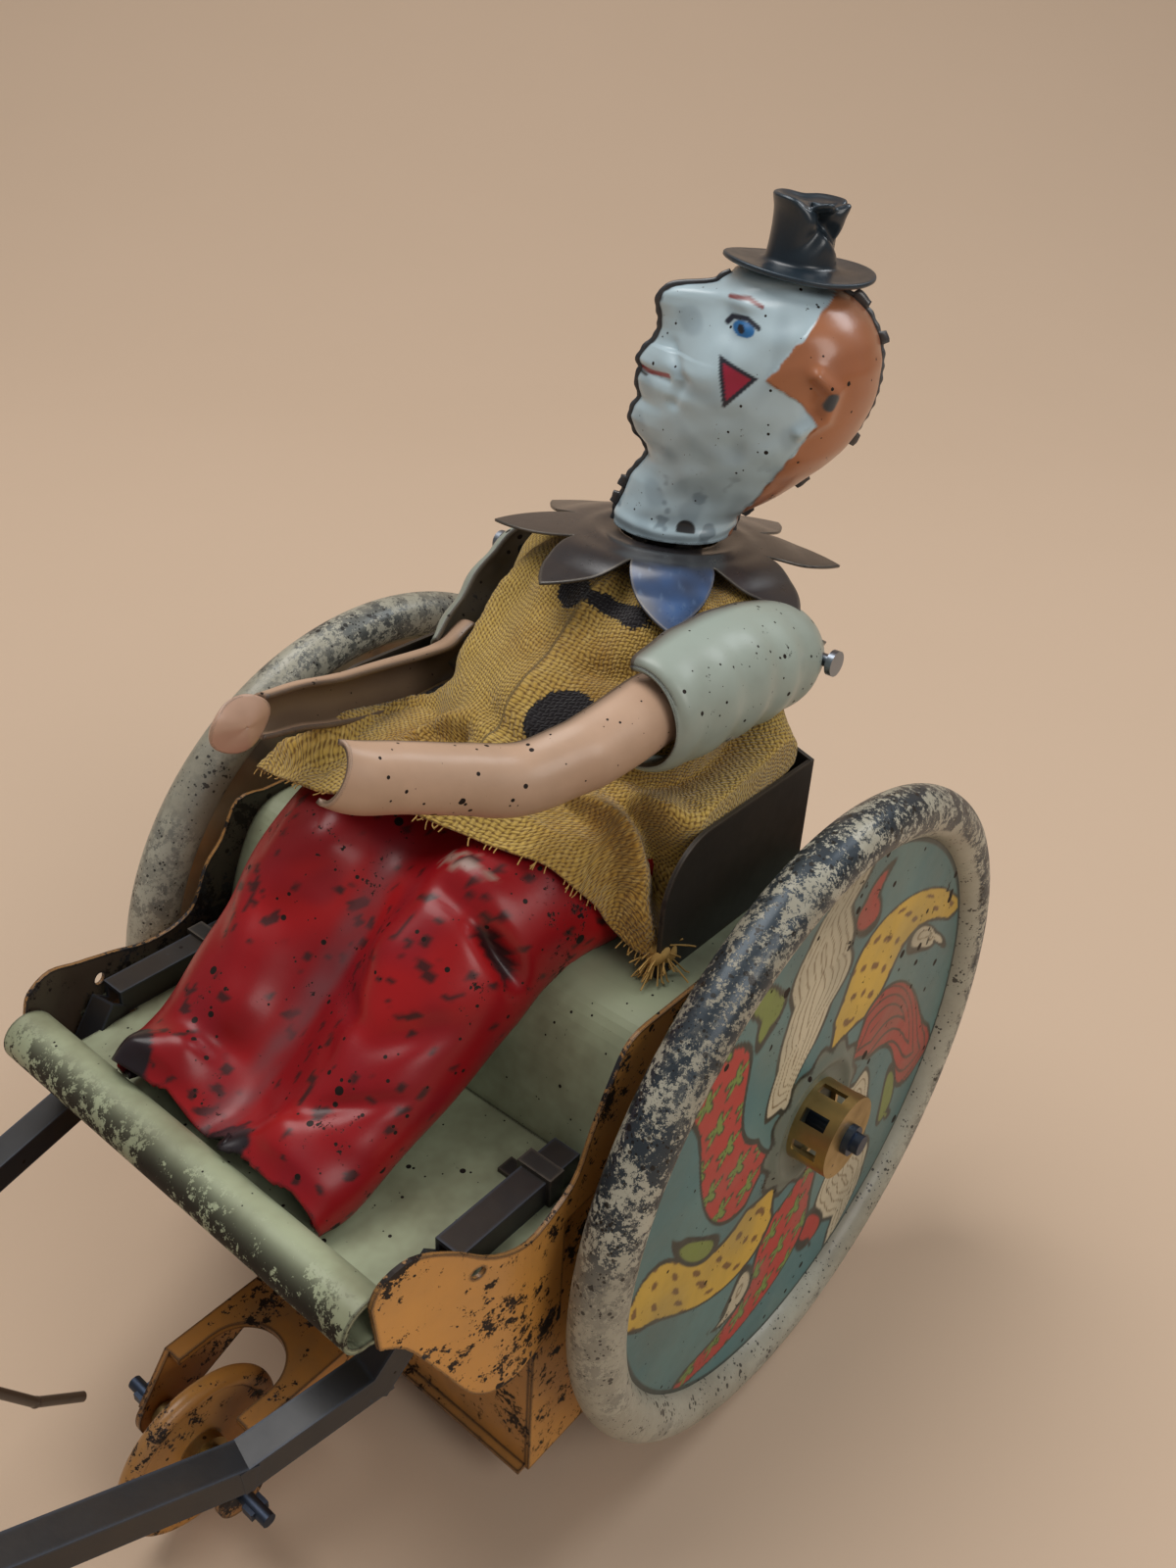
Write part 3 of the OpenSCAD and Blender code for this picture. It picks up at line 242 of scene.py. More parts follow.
# Short calls for the nodes of a material or a group; a value is a number, a colour or another node's output
class Nodes:
    def __init__(self, tree):
        self.tree = tree

    def add(self, kind, **settings):
        node = self.tree.nodes.new("ShaderNode" + kind)
        for name, value in settings.items():
            setattr(node, name, value)
        return node

    def put(self, socket, value):
        if isinstance(value, bpy.types.NodeSocket):
            self.tree.links.new(value, socket)
        else:
            socket.default_value = value

    def maths(self, operation, *values):
        node = self.add("Math", operation=operation)
        for socket, value in zip(node.inputs, values):
            self.put(socket, value)
        return node.outputs[0]

    def times(self, a, b):
        return self.maths("MULTIPLY", a, b)

    def plus(self, a, b):
        return self.maths("ADD", a, b)

    def minus(self, a, b):
        return self.maths("SUBTRACT", a, b)

    def most(self, a, b):
        return self.maths("MAXIMUM", a, b)

    def mixed(self, factor, a, b):
        node = self.add("Mix", data_type="RGBA")
        for socket, value in ((0, factor), (6, rgba(a)), (7, rgba(b))):
            self.put(node.inputs[socket], value)
        return node.outputs[2]

    def ramp(self, value, low, high):
        node = self.add("MapRange", interpolation_type="SMOOTHSTEP")
        for socket, given in (("Value", value), ("From Min", low), ("From Max", high)):
            self.put(node.inputs[socket], given)
        return node.outputs["Result"]

    def noise(self, vector, scale, detail=4.0, rough=0.6):
        node = self.add("TexNoise")
        for socket, value in (("Vector", vector), ("Scale", scale), ("Detail", detail), ("Roughness", rough)):
            self.put(node.inputs[socket], value)
        return node.outputs["Fac"]

    def scaled(self, vector, factor):
        node = self.add("VectorMath", operation="SCALE")
        self.put(node.inputs[0], vector)
        self.put(node.inputs["Scale"], factor)
        return node.outputs[0]

    def axes(self, vector):
        node = self.add("SeparateXYZ")
        self.put(node.inputs[0], vector)
        return node.outputs

    def coords(self):
        return self.add("TexCoord").outputs["Object"]

    def attribute(self, name, output="Color"):
        return self.add("Attribute", attribute_name=name).outputs[output]

    def bump(self, height, strength, distance):
        node = self.add("Bump")
        for socket, value in (("Height", height), ("Strength", strength), ("Distance", distance)):
            self.put(node.inputs[socket], value)
        return node.outputs[0]

    def group(self, tree, **values):
        node = self.add("Group", node_tree=tree)
        for label, value in values.items():
            self.put(node.inputs[label], value)
        return node.outputs


# A node group: named inputs with their first values, named outputs
def newGroup(name, inputs, outputs):
    tree = bpy.data.node_groups.new(name, "ShaderNodeTree")
    for label, value in inputs.items():
        kind = "NodeSocketFloat" if isinstance(value, float) else "NodeSocketVector"
        tree.interface.new_socket(label, in_out="INPUT", socket_type=kind).default_value = value
    for label in outputs:
        tree.interface.new_socket(label, in_out="OUTPUT", socket_type="NodeSocketFloat")
    return Nodes(tree), tree.nodes.new("NodeGroupInput").outputs, tree.nodes.new("NodeGroupOutput").inputs


# Chips in patches and on edges, round rust specks and slow grime, all as masks; scales are per metre. Chips show
# where the sum of three noises is over a limit, which falls where the bevelled normal leaves the flat one
wearSet = {"patch": 70.0, "chip": 360.0, "grain": 1700.0, "speck": 620.0, "slow": 38.0, "shares": (0.35, 0.45, 0.2),
           "edgeRadius": 0.0006, "speckWidth": 0.42}


def makeWear():
    n, given, out = newGroup("wear", {"Scale": 1.0, "Chips": 0.3, "Edge": 0.5, "Specks": 0.3},
                             ("Chip", "Speck", "Grime", "Fine"))
    at = n.scaled(n.coords(), given["Scale"])
    patch = n.noise(at, wearSet["patch"], 3.0, 0.55)
    middle = n.noise(at, wearSet["chip"], 6.0, 0.7)
    grain = n.noise(at, wearSet["grain"], 3.0, 0.7)
    parts = [n.times(value, share) for value, share in zip((patch, middle, grain), wearSet["shares"])]
    total = n.plus(n.plus(parts[0], parts[1]), parts[2])
    rounded = n.add("Bevel", samples=4)
    rounded.inputs["Radius"].default_value = wearSet["edgeRadius"]
    dot = n.add("VectorMath", operation="DOT_PRODUCT")
    n.put(dot.inputs[0], rounded.outputs[0])
    n.put(dot.inputs[1], n.add("NewGeometry").outputs["Normal"])
    rub = n.minus(1.0, n.ramp(dot.outputs["Value"], 0.86, 0.995))
    limit = n.minus(0.69, n.times(given["Chips"], 0.22))
    limit = n.minus(limit, n.times(n.times(rub, given["Edge"]), 0.3))
    cells = n.add("TexVoronoi")
    n.put(cells.inputs["Vector"], at)
    n.put(cells.inputs["Scale"], wearSet["speck"])
    chance = n.add("SeparateColor")
    n.put(chance.inputs[0], cells.outputs["Color"])
    width = n.times(n.times(n.maths("POWER", chance.outputs[0], 5.0), wearSet["speckWidth"]), given["Specks"])
    width = n.times(width, n.plus(0.2, n.ramp(patch, 0.4, 0.6)))
    n.put(out["Chip"], n.ramp(n.minus(total, limit), 0.0, 0.012))
    n.put(out["Speck"], n.maths("LESS_THAN", cells.outputs["Distance"], width))
    n.put(out["Grime"], n.ramp(n.noise(at, wearSet["slow"], 5.0, 0.65), 0.35, 0.7))
    n.put(out["Fine"], middle)
    return n.tree


# Plain weave in millimetres of cloth: squares of two sines for the threads, and the dark gaps between them
def makeWeave():
    n, given, out = newGroup("weave", {"Cloth": (0.0, 0.0, 0.0), "Pitch": 0.6}, ("Height", "Gap"))
    parts = n.axes(given["Cloth"])
    drift = n.times(n.noise(given["Cloth"], 0.35, 2.0, 0.5), 1.1)
    one, two = [n.maths("SINE", n.times(n.maths("DIVIDE", n.plus(parts[k], drift), given["Pitch"]), np.pi))
                for k in (0, 1)]
    warp, weft = n.times(one, one), n.times(two, two)
    over = n.ramp(n.times(one, two), -0.35, 0.35)
    n.put(out["Height"], n.plus(n.times(warp, over), n.times(weft, n.minus(1.0, over))))
    n.put(out["Gap"], n.ramp(n.times(n.minus(1.0, warp), n.minus(1.0, weft)), 0.25, 0.85))
    return n.tree


wear, weave = makeWear(), makeWeave()


# A new material and the short calls for its nodes
def newMaterial(name):
    material = bpy.data.materials.new(name)
    material.use_nodes = True
    return material, Nodes(material.node_tree)


# Sets a material's shader from a dictionary of its sockets
def shade(n, values):
    for label, value in values.items():
        n.put(n.tree.nodes["Principled BSDF"].inputs[label], value)


rustSpot = (0.018, 0.012, 0.01)


# Old printed or lacquered tin: grime, then chips to bare metal, then specks over the colour, and a roughness that
# grows where paint is lost. The colour is one colour or an attribute; inner is the back's colour, told apart
# along the side axis; blots are extra marks; lip gives the two places along X between which wear grows heavy
def painted(name, colour, bare=(0.03, 0.03, 0.034), chips=0.25, edge=0.6, specks=0.4, rough=0.36, coat=0.25,
            grime=0.35, dirt=(0.12, 0.09, 0.06), bareMetal=0.5, inner=None, side="y", blots=0.0, shine=0.5, lip=None):
    material, n = newMaterial(name)
    marks = n.group(wear, Scale=1.0, Chips=chips, Edge=edge, Specks=specks)
    base = n.attribute(colour) if isinstance(colour, str) else colour
    if inner:
        facing = n.axes(n.add("NewGeometry").outputs["Normal"])["xyz".index(side)]
        sign = n.maths("SIGN", n.axes(n.coords())[1]) if side == "y" else 1.0
        base = n.mixed(n.ramp(n.times(facing, sign), -0.25, 0.1), inner, base)
    tone = n.mixed(n.times(marks["Grime"], grime), base, dirt)
    tone = n.mixed(marks["Chip"], tone, bare)
    speck = marks["Speck"]
    if blots:
        more = n.group(wear, Scale=2.1, Chips=chips + 0.16 * blots, Edge=0.0, Specks=1.8 * blots)
        few = n.group(wear, Scale=1.25, Chips=0.0, Edge=0.0, Specks=1.5 * blots)
        speck = n.most(n.most(speck, few["Speck"]), n.most(more["Speck"], more["Chip"]))
    if lip:
        worn = n.group(wear, Scale=2.4, Chips=0.95, Edge=0.4, Specks=1.0)
        speck = n.most(speck, n.times(worn["Chip"], n.ramp(n.axes(n.coords())[0], *lip)))
    lost = n.most(marks["Chip"], speck)
    gloss = n.plus(n.times(marks["Fine"], 0.22), rough - 0.11)
    relief = n.minus(n.times(marks["Fine"], 0.5), lost)
    shade(n, {"Base Color": n.mixed(speck, tone, rustSpot), "Metallic": n.times(lost, bareMetal),
              "Roughness": n.plus(gloss, n.times(lost, 0.18)), "Coat Weight": n.times(n.minus(1.0, lost), coat),
              "Coat Roughness": 0.2, "Specular IOR Level": shine, "Normal": n.bump(relief, 0.35, 0.00012)})
    return material


# Bare metal: tarnish mixed in by the slow grime, dark specks, and a roughness that grows with grime and fine noise
def metal(name, colour, tarnish, rough=0.32, amount=0.5):
    material, n = newMaterial(name)
    marks = n.group(wear, Scale=1.3, Chips=0.2, Edge=0.3, Specks=0.5)
    dull = n.times(marks["Grime"], amount)
    tone = n.mixed(n.times(marks["Speck"], 0.8), n.mixed(dull, colour, tarnish), (0.02, 0.016, 0.012))
    gloss = n.plus(n.times(dull, 0.3), n.times(marks["Fine"], 0.2))
    shade(n, {"Base Color": tone, "Metallic": 1.0, "Roughness": n.plus(rough - 0.08, gloss),
              "Normal": n.bump(marks["Fine"], 0.2, 0.0001)})
    return material


# Each finish: how it is made, and the CAD nodes that keep their shape and wear it
finishes = {
    "tubCream": (dict(colour=(0.37, 0.415, 0.27), bare=(0.05, 0.045, 0.035), chips=0.2, edge=1.2, specks=0.5, blots=0.22,
                      rough=0.5, coat=0.06, shine=0.35, grime=0.9, dirt=(0.15, 0.14, 0.08), lip=(0.0004, 0.0042)),
                 ["floor_and_seat"]),
    "panelOrange": (dict(colour=(0.62, 0.29, 0.06), chips=0.6, edge=1.5, specks=1.0, blots=0.45, rough=0.38, coat=0.1,
                         inner=(0.035, 0.024, 0.016), grime=0.3), ["side_panel_left", "side_panel_right"]),
    "boxOrange": (dict(colour=(0.56, 0.26, 0.06), chips=0.56, edge=1.4, specks=0.7, inner=(0.03, 0.02, 0.014), side="x",
                       grime=0.6, blots=0.4, coat=0.1), ["belly_wrap"]),
    "forkOrange": (dict(colour=(0.42, 0.18, 0.036), chips=0.62, edge=1.5, specks=0.8, grime=0.75, blots=0.15, coat=0.1),
                   ["front_fork"]),
    "frontOrange": (dict(colour=(0.47, 0.21, 0.042), chips=0.6, edge=1.5, specks=0.7, grime=0.65, blots=0.1, coat=0.1),
                    ["front_wheel"]),
    "blackTin": (dict(colour=(0.012, 0.011, 0.011), bare=(0.12, 0.1, 0.08), chips=0.2, edge=0.8, specks=0.3, rough=0.42,
                      coat=0.1, shine=0.35, grime=0.35, dirt=(0.04, 0.03, 0.02), bareMetal=0.8),
                 ["seat_back", "shaft_clips", "toe_lugs", "torso_core"]),
    "shaftTin": (dict(colour=(0.009, 0.01, 0.013), bare=(0.06, 0.07, 0.09), chips=0.3, edge=0.9, specks=0.4, rough=0.38,
                      coat=0.12, shine=0.35, grime=0.6, dirt=(0.04, 0.026, 0.014), bareMetal=0.7),
                 ["shaft_left", "shaft_right"]),
    "tailPaint": (dict(colour=(0.05, 0.032, 0.022), chips=0.2, edge=0.4, grime=0.3), ["mule_tail"]),
    "oldSteel": (dict(colour=(0.3, 0.34, 0.4), tarnish=(0.08, 0.07, 0.065)),
                 ["motor_plate_left", "motor_plate_right", "wheel_collars", "winding_arbor", "ratchet_wheel", "pawl",
                  "arbor_bracket", "push_rod", "toe_pin", "toe_knuckles", "shoulder_wire", "intermediate_arbor",
                  "winding_key"]),
    "bluedSteel": (dict(colour=(0.07, 0.1, 0.16), tarnish=(0.05, 0.045, 0.045), rough=0.36),
                   ["drive_axle", "front_axle", "mule_pivot_pin", "bounce_cam"]),
    "oldBrass": (dict(colour=(0.5, 0.36, 0.15), tarnish=(0.12, 0.085, 0.04), rough=0.34, amount=0.75),
                 ["front_hub", "hub_cage_left", "hub_cage_right", "axle_bushes", "plate_pillars", "intermediate_wheel",
                  "intermediate_pinion", "great_wheel", "axle_pinion", "arbor_bush", "spring_post", "mule_bush",
                  "neck_ring", "pawl_pin"]),
    "springSteel": (dict(colour=(0.18, 0.2, 0.26), tarnish=(0.06, 0.055, 0.06), rough=0.3), ["mainspring"]),
}
for name, (values, worn) in finishes.items():
    finish = (metal if "tarnish" in values else painted)(name, **values)
    for node in worn:
        cover(nodes[node], finish)
print("materials made:", len(finishes))

# Trouser legs: knots along the middle line as x, z, half spacing, radius, how full the valley between them is,
# and tallness. The pressing is an arch carried along that line, a quarter circle each side and a cosine between
legSet = {
    "knots": [[-2, 69.6, 10.5, 7, 0.95, 0.85], [3, 70.0, 10.8, 9.0, 0.95, 0.85], [10, 70.0, 11.0, 9.8, 0.85, 0.85],
              [16, 69.8, 10.6, 9.8, 0.72, 0.88], [21, 69.0, 9.7, 9.4, 0.6, 0.95], [26.5, 67.2, 9.4, 9.0, 0.52, 1],
              [31, 64.2, 9.4, 8.7, 0.44, 0.98], [36, 60.4, 9.3, 8.1, 0.38, 0.92], [41.5, 56.8, 9.2, 7.7, 0.34, 0.8],
              [46.5, 53.8, 9.0, 7.4, 0.3, 0.68], [50.6, 52.0, 8.8, 7.2, 0.24, 0.74],
              [53.4, 51.2, 8.6, 7.0, 0.2, 0.52]],
    # Lowest height of the sheet along X, over the seat and down to the floor
    "base": ([-20, 22.5, 25.5, 28, 30.4, 60], [65, 65, 62, 56, 50, 50]),
    # Each dent: place, direction, length, width, depth
    "dents": [[(31.6, 11, 74.4), (0.0, 0.95, -0.3), 4, 1.3, 0.9],
              [(30.8, 16.6, 70.4), (-0.25, 0.5, -0.85), 4.6, 1.2, 2.6],
              [(28.6, 10.5, 76), (0, 0.95, -0.25), 5, 1.7, -0.55], [(36.2, 7.2, 69.3), (1, 0, 0), 3.4, 3.4, -1.0],
              [(40.6, 5.6, 64), (0.4, 0.9, 0.1), 4.6, 1.5, 0.9], [(40, 13.6, 64.6), (-0.8, 0.6, 0.2), 3.8, 1.5, 0.9],
              [(46, 12.3, 59.4), (-0.65, 0.75, 0.15), 4.2, 0.9, 0.8], [(48.3, 12, 57), (-0.3, 0.95, 0), 4, 1.8, -0.5],
              [(44, 6, 62), (0.5, 0.7, -0.4), 3.5, 1.4, 0.5], [(50, 6, 54.6), (0.2, 0.9, 0), 4, 1.3, 0.45],
              [(32, -6.5, 73.3), (1, 0, 0), 3, 3, -0.7], [(38.6, -7.1, 67.5), (0.3, 1, 0), 3.2, 2.4, 0.85],
              [(44.9, -5.6, 60.2), (0.2, 1, 0), 3, 2.4, -0.6], [(47.6, -5.4, 57), (0, 1, 0), 4, 1.5, 0.7],
              [(41, -12, 63), (0.5, 0.5, -0.6), 3.5, 1.6, 0.6], [(34, -13, 70), (0.6, 0.3, -0.7), 4, 1.4, 0.6],
              [(50.5, 8, 57), (0, 1, 0), 2.6, 1.6, -0.7], [(50.5, -8, 57), (0, 1, 0), 2.6, 1.6, -0.9],
              [(25, -9, 77), (0.3, 0.9, 0), 5, 1.6, 0.5], [(20, 17, 76), (0.4, 0.8, -0.4), 5, 1.8, 0.6]],
    # Each toe tip: middle, half width across, lift, and how far it runs over the lip
    "tips": [[3.0, 2.5, 1.7, 1.6], [-11.8, 2.5, 1.9, 1.5]], "tipFrom": (50.2, 53.4), "lipAt": (54.5, 53.6),
    "rows": 150, "arch": 46, "between": 30, "wobble": 0.26, "sheet": 0.6, "sunk": 0.1}
spine = smoothLine(legSet["knots"], legSet["rows"])
midX, midZ, spacing, radius, full, tallness = spine.T[..., None]
slope = unit(np.gradient(spine[:, :2], axis=0))
angle = np.linspace(-0.8, np.pi / 2, legSet["arch"])[None]
inward = np.linspace(0, 1, legSet["between"])[None, 1:]
across = np.concatenate([np.cos(angle) * radius + spacing, spacing * (1 - inward)], 1)
sag = (1 - full) * (1 - np.cos(np.pi * inward)) / 2
height = np.concatenate([np.sin(angle) * radius * tallness, radius * tallness * (1 - sag)], 1)
across = np.concatenate([across, -across[:, -2::-1]], 1)
height = np.concatenate([height, height[:, -2::-1]], 1)
legGrid = np.stack([midX - slope[:, 1:] * height, across, midZ + slope[:, :1] * height], -1)
normals = gridNormals(legGrid, (40, 20), [10, 8, 66])
crease = np.zeros(legGrid.shape[:2])
for spot, way, length, width, depth in legSet["dents"]:
    way = unit(np.asarray(way, float))
    run = (legGrid - spot) @ way
    off = np.linalg.norm(legGrid - spot - run[..., None] * way, axis=-1)
    crease += depth * bell(off, width) * bell(run, length)
legGrid -= normals * (crease - legSet["wobble"] * wobble(legGrid, 9, 3) + legSet["sunk"])[..., None]
legGrid[..., 2] = np.maximum(legGrid[..., 2], np.interp(legGrid[..., 0], *legSet["base"]))
tipShare = np.zeros(legGrid.shape[:2])
for middle, wide, lift, run in legSet["tips"]:
    part = bell(legGrid[..., 1] - middle, wide) * step(legGrid[..., 0], *legSet["tipFrom"])
    legGrid[..., 2] += lift * part
    legGrid[..., 0] += run * part
    tipShare = np.maximum(tipShare, part)
low, furthest = legSet["lipAt"]
legGrid[..., 0] = np.where(legGrid[..., 2] < low, np.minimum(legGrid[..., 0], furthest), legGrid[..., 0])
legs = gridPiece("legsPressing", legGrid)
solidify(legs, legSet["sheet"])
rot = wobble(legGrid, 1.5, 21) + 0.8 * wobble(legGrid, 2.9, 22) + 0.55 * wobble(legGrid, 13, 23)
valley = (1 - step(np.abs(legGrid[..., 1] + 0.5), 0.6, 2.6)) * step(legGrid[..., 0], 24, 30)
fromHip = (((legGrid - [28.4, 9, 75.6]) * [0.42, 0.13, 0.3]) ** 2).sum(-1)
storeColour(legs, "legTint", layered(
    [0.27, 0.005, 0.009],
    ([0.44, 0.011, 0.012], step(wobble(legGrid, 14, 8), 0.0, 0.5) * 0.6),
    ([0.22, 0.006, 0.014], step(wobble(legGrid, 9, 9), 0.1, 0.5) * 0.5),
    # Near-black in the deep dents: partly painted shade, partly the grime and bare metal that gather there
    ([0.012, 0.008, 0.009], step(crease + 0.25 * wobble(legGrid, 1.6, 6), 0.85, 1.5) * 0.92),
    ([0.03, 0.01, 0.01], step(rot, 0.5, 0.64) * 0.9),
    ([0.17, 0.055, 0.06], valley * (0.55 + 0.4 * wobble(legGrid, 3, 10))),
    ([0.3, 0.2, 0.16], step(np.exp(-fromHip) + 0.3 * wobble(legGrid, 1.3, 12), 0.78, 0.92) * 0.8),
    ([0.014, 0.011, 0.014], step(tipShare + 0.12 * wobble(legGrid, 1.6, 5), 0.2, 0.28))))
place(legs, "clown", "tin_red", painted("legRed", "legTint", bare=(0.02, 0.012, 0.012), chips=0.34, edge=0.5, specks=0.7,
                                        coat=0.1, shine=0.32, grime=0.2, dirt=(0.05, 0.008, 0.008), blots=0.4),
      "clown_legs")
print("legs made")

# Shirt: rings from neck to hem, each a middle, height, reach ahead and behind, near and far half width, then the
# hem's points as turn, x, y, z; the cloth is a smooth sheet through the rings, pushed out along its normals
shirtSet = {
    "rings": [[-13.6, 94.3, 7.6, 7.4, 8.6, 8.6], [-12.4, 93.0, 10.8, 8.8, 15.0, 15.6],
              [-9.6, 88.6, 14.2, 9.0, 18.8, 16.4], [-4.0, 83.4, 16.8, 8.2, 21.8, 15.2],
              [1.6, 78.4, 17.6, 8.4, 23.6, 14.6]],
    "hem": [[0, 28.5, 1, 78.4], [25, 25.6, 13, 77.4], [50, 20.8, 20, 71.6], [66, 18.4, 23.8, 66.8],
            [95, 7, 24.2, 65.4], [130, -3.5, 22.4, 65.4], [155, -6.3, 13, 65.6], [180, -6.5, 0, 65.6],
            [205, -6.3, -13, 65.6], [230, -3.5, -22.4, 65.4], [262, 7, -24.2, 65.7], [290, 20, -24, 68.6],
            [312, 29.5, -21, 73.8], [335, 31, -10.5, 78.0], [360, 28.5, 1, 78.4]],
    # Each fold: turn, lean, depth, width in degrees
    "folds": [[150, 15, 0.7, 9], [205, -12, 0.8, 9], [250, 15, 0.8, 9], [282, -25, 0.6, 8]],
    # Each crease: height, width and the places it runs through
    "creases": [[1.5, 1.25, (17.2, 10.2, 79.0), (15.8, 13.9, 79.0), (15.7, 17.9, 77.7), (16.7, 20.8, 74.4),
                 (17.5, 22.1, 71.1), (17.1, 23.5, 67.9)],
                [-1.9, 1.2, (13.4, 15.5, 79.6), (13.2, 19.6, 77.2), (13.4, 22.2, 73.4), (14.4, 23.5, 69.5)],
                [2.2, 1.9, (13.2, 17.2, 79.3), (10.5, 21.4, 77.9), (4.5, 23.1, 78.9), (-1.3, 22.5, 80.6),
                 (-6, 20.5, 83.4)],
                [-2.0, 1.5, (12.8, 13.9, 81.2), (8.9, 19.7, 81.9), (3.2, 22.0, 83.2), (-4.6, 21.5, 85.4)],
                [1.0, 1.8, (11, 12, 84.4), (6, 19, 85.4), (-2, 21.5, 87.6)],
                [-1.0, 1.4, (8, 22.5, 75.4), (1, 23.5, 76), (-5, 22, 77.6)],
                [1.4, 1.3, (29.2, -20.1, 74.2), (25.4, -14.3, 77.8), (15.7, -14.4, 77.3), (10.5, -9.9, 81.5)],
                [-1.1, 1.0, (29.4, -11.5, 78.4), (19.4, -11.0, 78.2), (14.2, -8.0, 79.8)],
                [1.0, 1.0, (24.2, -8.0, 79.3), (16.5, -7.6, 78.8), (14.5, -4.1, 81.4)],
                [-0.9, 1.0, (22, -5, 79.6), (15.6, -3, 80.4)],
                [0.8, 1.5, (9.6, -10.4, 84), (6, -11.6, 88), (-2, -13, 92)],
                [-0.8, 1.5, (6, 4, 87.6), (5, 9, 88), (1, 14, 90)],
                [0.7, 1.6, (9.5, 10, 85), (4, 14.5, 88), (-3, 16.5, 91.4)],
                [-0.7, 1.2, (12.4, -4, 83.4), (14.6, 2, 81.8), (14.4, 8, 80.6)]],
    "creaseGain": 1.7,
    # Each spot is two ends and a radius
    "spots": [[(-0.2, -2.4, 91.8), (-0.2, 6.6, 91.5), 1.15], [(-0.6, -2.4, 91.9), (-0.1, -1.8, 91.7), 2.0],
              [(0, 6.2, 91.5), (0, 6.9, 91.4), 1.5], [(11.7, 6.6, 84.2), (11.8, 6.5, 84.0), 3.9],
              [(9, -13, 80), (9.2, -12.8, 80), 2.6], [(-15.5, 8, 86), (-15.5, 8.2, 86), 3.4],
              [(-16, -9, 88), (-16, -9.2, 88), 3.2], [(1, -19, 76), (1.2, -19, 76), 3.2],
              [(0.5, 23, 72), (0.7, 23, 72), 3.0]],
    # What the cloth lies on: round cones along one leg, and one across the lap
    "leg": [[(6, 11, 70.1), 8.8, (20, 10, 69.2), 9.4], [(20, 10, 69.2), 9.4, (27, 9.4, 67), 9.2],
            [(27, 9.4, 67), 9.2, (36, 9.3, 60.4), 8.1]],
    "lap": [(6, -8, 70.1), 8.2, (6, 8, 70.1), 8.2], "clear": 0.75, "settles": 4,
    # Room inside the seat: floor, height of the wings, half width before and past their front edge, and the back
    "seatFloor": 65.1, "wingTop": 83, "half": (24.5, 26.0), "wingEnd": 18.4, "backAt": -6.9,
    "cols": 300, "rows": 130, "thick": 0.34, "pitch": 0.5, "widthRow": 90, "darkest": 0.62}
count, rows = shirtSet["cols"], shirtSet["rows"]
theta = fullTurn(count)
front, rear = [(c + np.sqrt(c**2 + 0.05)) / 2 for c in (np.cos(theta), -np.cos(theta))]
square = np.sign(np.sin(theta)) * np.abs(np.sin(theta)) ** 0.78
rings = [np.stack([x + ahead * front - behind * rear, np.where(theta < np.pi, near * square, far * np.sin(theta)),
                   np.full(count, z)], -1) for x, z, ahead, behind, near, far in shirtSet["rings"]]
hemTurn, *hemPlaces = np.asarray(shirtSet["hem"], float).T
hem = np.stack([np.interp(np.degrees(theta), hemTurn, values) for values in hemPlaces], -1)
kernel = bell(np.linspace(-2, 2, 15), 1)
kernel /= kernel.sum()
hem = np.stack([np.convolve(np.concatenate([v[-7:], v, v[:7]]), kernel, "valid") for v in hem.T], -1)
skirt = 0.42 * rings[-1] + 0.58 * hem
skirt[:, 2] += 0.6 + 0.9 * step(hem[:, 2], 66, 76)
cloth = smoothLine([*rings, skirt, hem], rows)
share = np.linspace(0, 1, rows)[:, None]
normals = gridNormals(cloth, (60, 0), [0, 0, 80], True)
# Gathers at the neck and loose waves lower down are cosines and sines of the turn; each fold is a bell of the turn
# with a shallower one beside it, and each crease a bell of the distance to its path
gathers = 0.34 * np.cos(15 * theta + 1.3 * np.sin(3 * theta)) * step(share, 0.02, 0.1) * (1 - step(share, 0.2, 0.42))
loose = (np.sin(5 * theta + 0.6) + 0.8 * np.sin(8 * theta + 2.1 + 0.8 * np.sin(2 * theta))
         + 0.5 * np.sin(13 * theta + 4))
push = gathers + 0.4 * loose * step(share, 0.45, 0.95)
for middle, lean, deep, wide in shirtSet["folds"]:
    aside = (np.degrees(theta) - middle - lean * (share - 0.75) * 2 + 180) % 360 - 180
    push += deep * (bell(aside, wide) - 0.7 * bell(aside - 1.7 * wide, wide)) * step(share, 0.36, 0.72)
for height, wide, *path in shirtSet["creases"]:
    path = smoothLine(path, 14 * len(path))
    mark = np.linspace(0, 1, len(path))
    path = [cloth.reshape(-1, 3)[((cloth - spot) ** 2).sum(-1).argmin()] for spot in path]
    fade = np.minimum(1, 5 * np.minimum(mark + 0.03, 1.03 - mark))
    bulge = np.max([part * bell(np.linalg.norm(cloth - spot, axis=-1), wide) for spot, part in zip(path, fade)], 0)
    push += shirtSet["creaseGain"] * height * bulge
push += 0.4 * wobble(cloth, 8, 11) + 0.2 * wobble(cloth, 3.4, 12)
cloth = cloth + normals * push[..., None]
# The cloth is lifted and spread until it clears the legs and the lap, then kept inside the seat
under = [[np.multiply(a, [1, s, 1]), ra, np.multiply(b, [1, s, 1]), rb] for s in (1, -1)
         for a, ra, b, rb in shirtSet["leg"]] + [shirtSet["lap"]]
for _ in range(shirtSet["settles"]):
    lift = np.maximum(shirtSet["clear"] - coneDistance(cloth, under), 0) * step(share, 0.4, 0.5)
    cloth[..., 2] += lift * 0.9
    cloth[..., 1] += lift * np.sign(cloth[..., 1]) * step(np.abs(cloth[..., 1]), 12, 20) * 0.8
cloth[..., 2] = np.maximum(cloth[..., 2], shirtSet["seatFloor"])
half = np.where(cloth[..., 0] < shirtSet["wingEnd"], *shirtSet["half"])
inSeat = cloth[..., 2] < shirtSet["wingTop"]
cloth[..., 1] = np.where(inSeat, np.clip(cloth[..., 1], -half, half), cloth[..., 1])
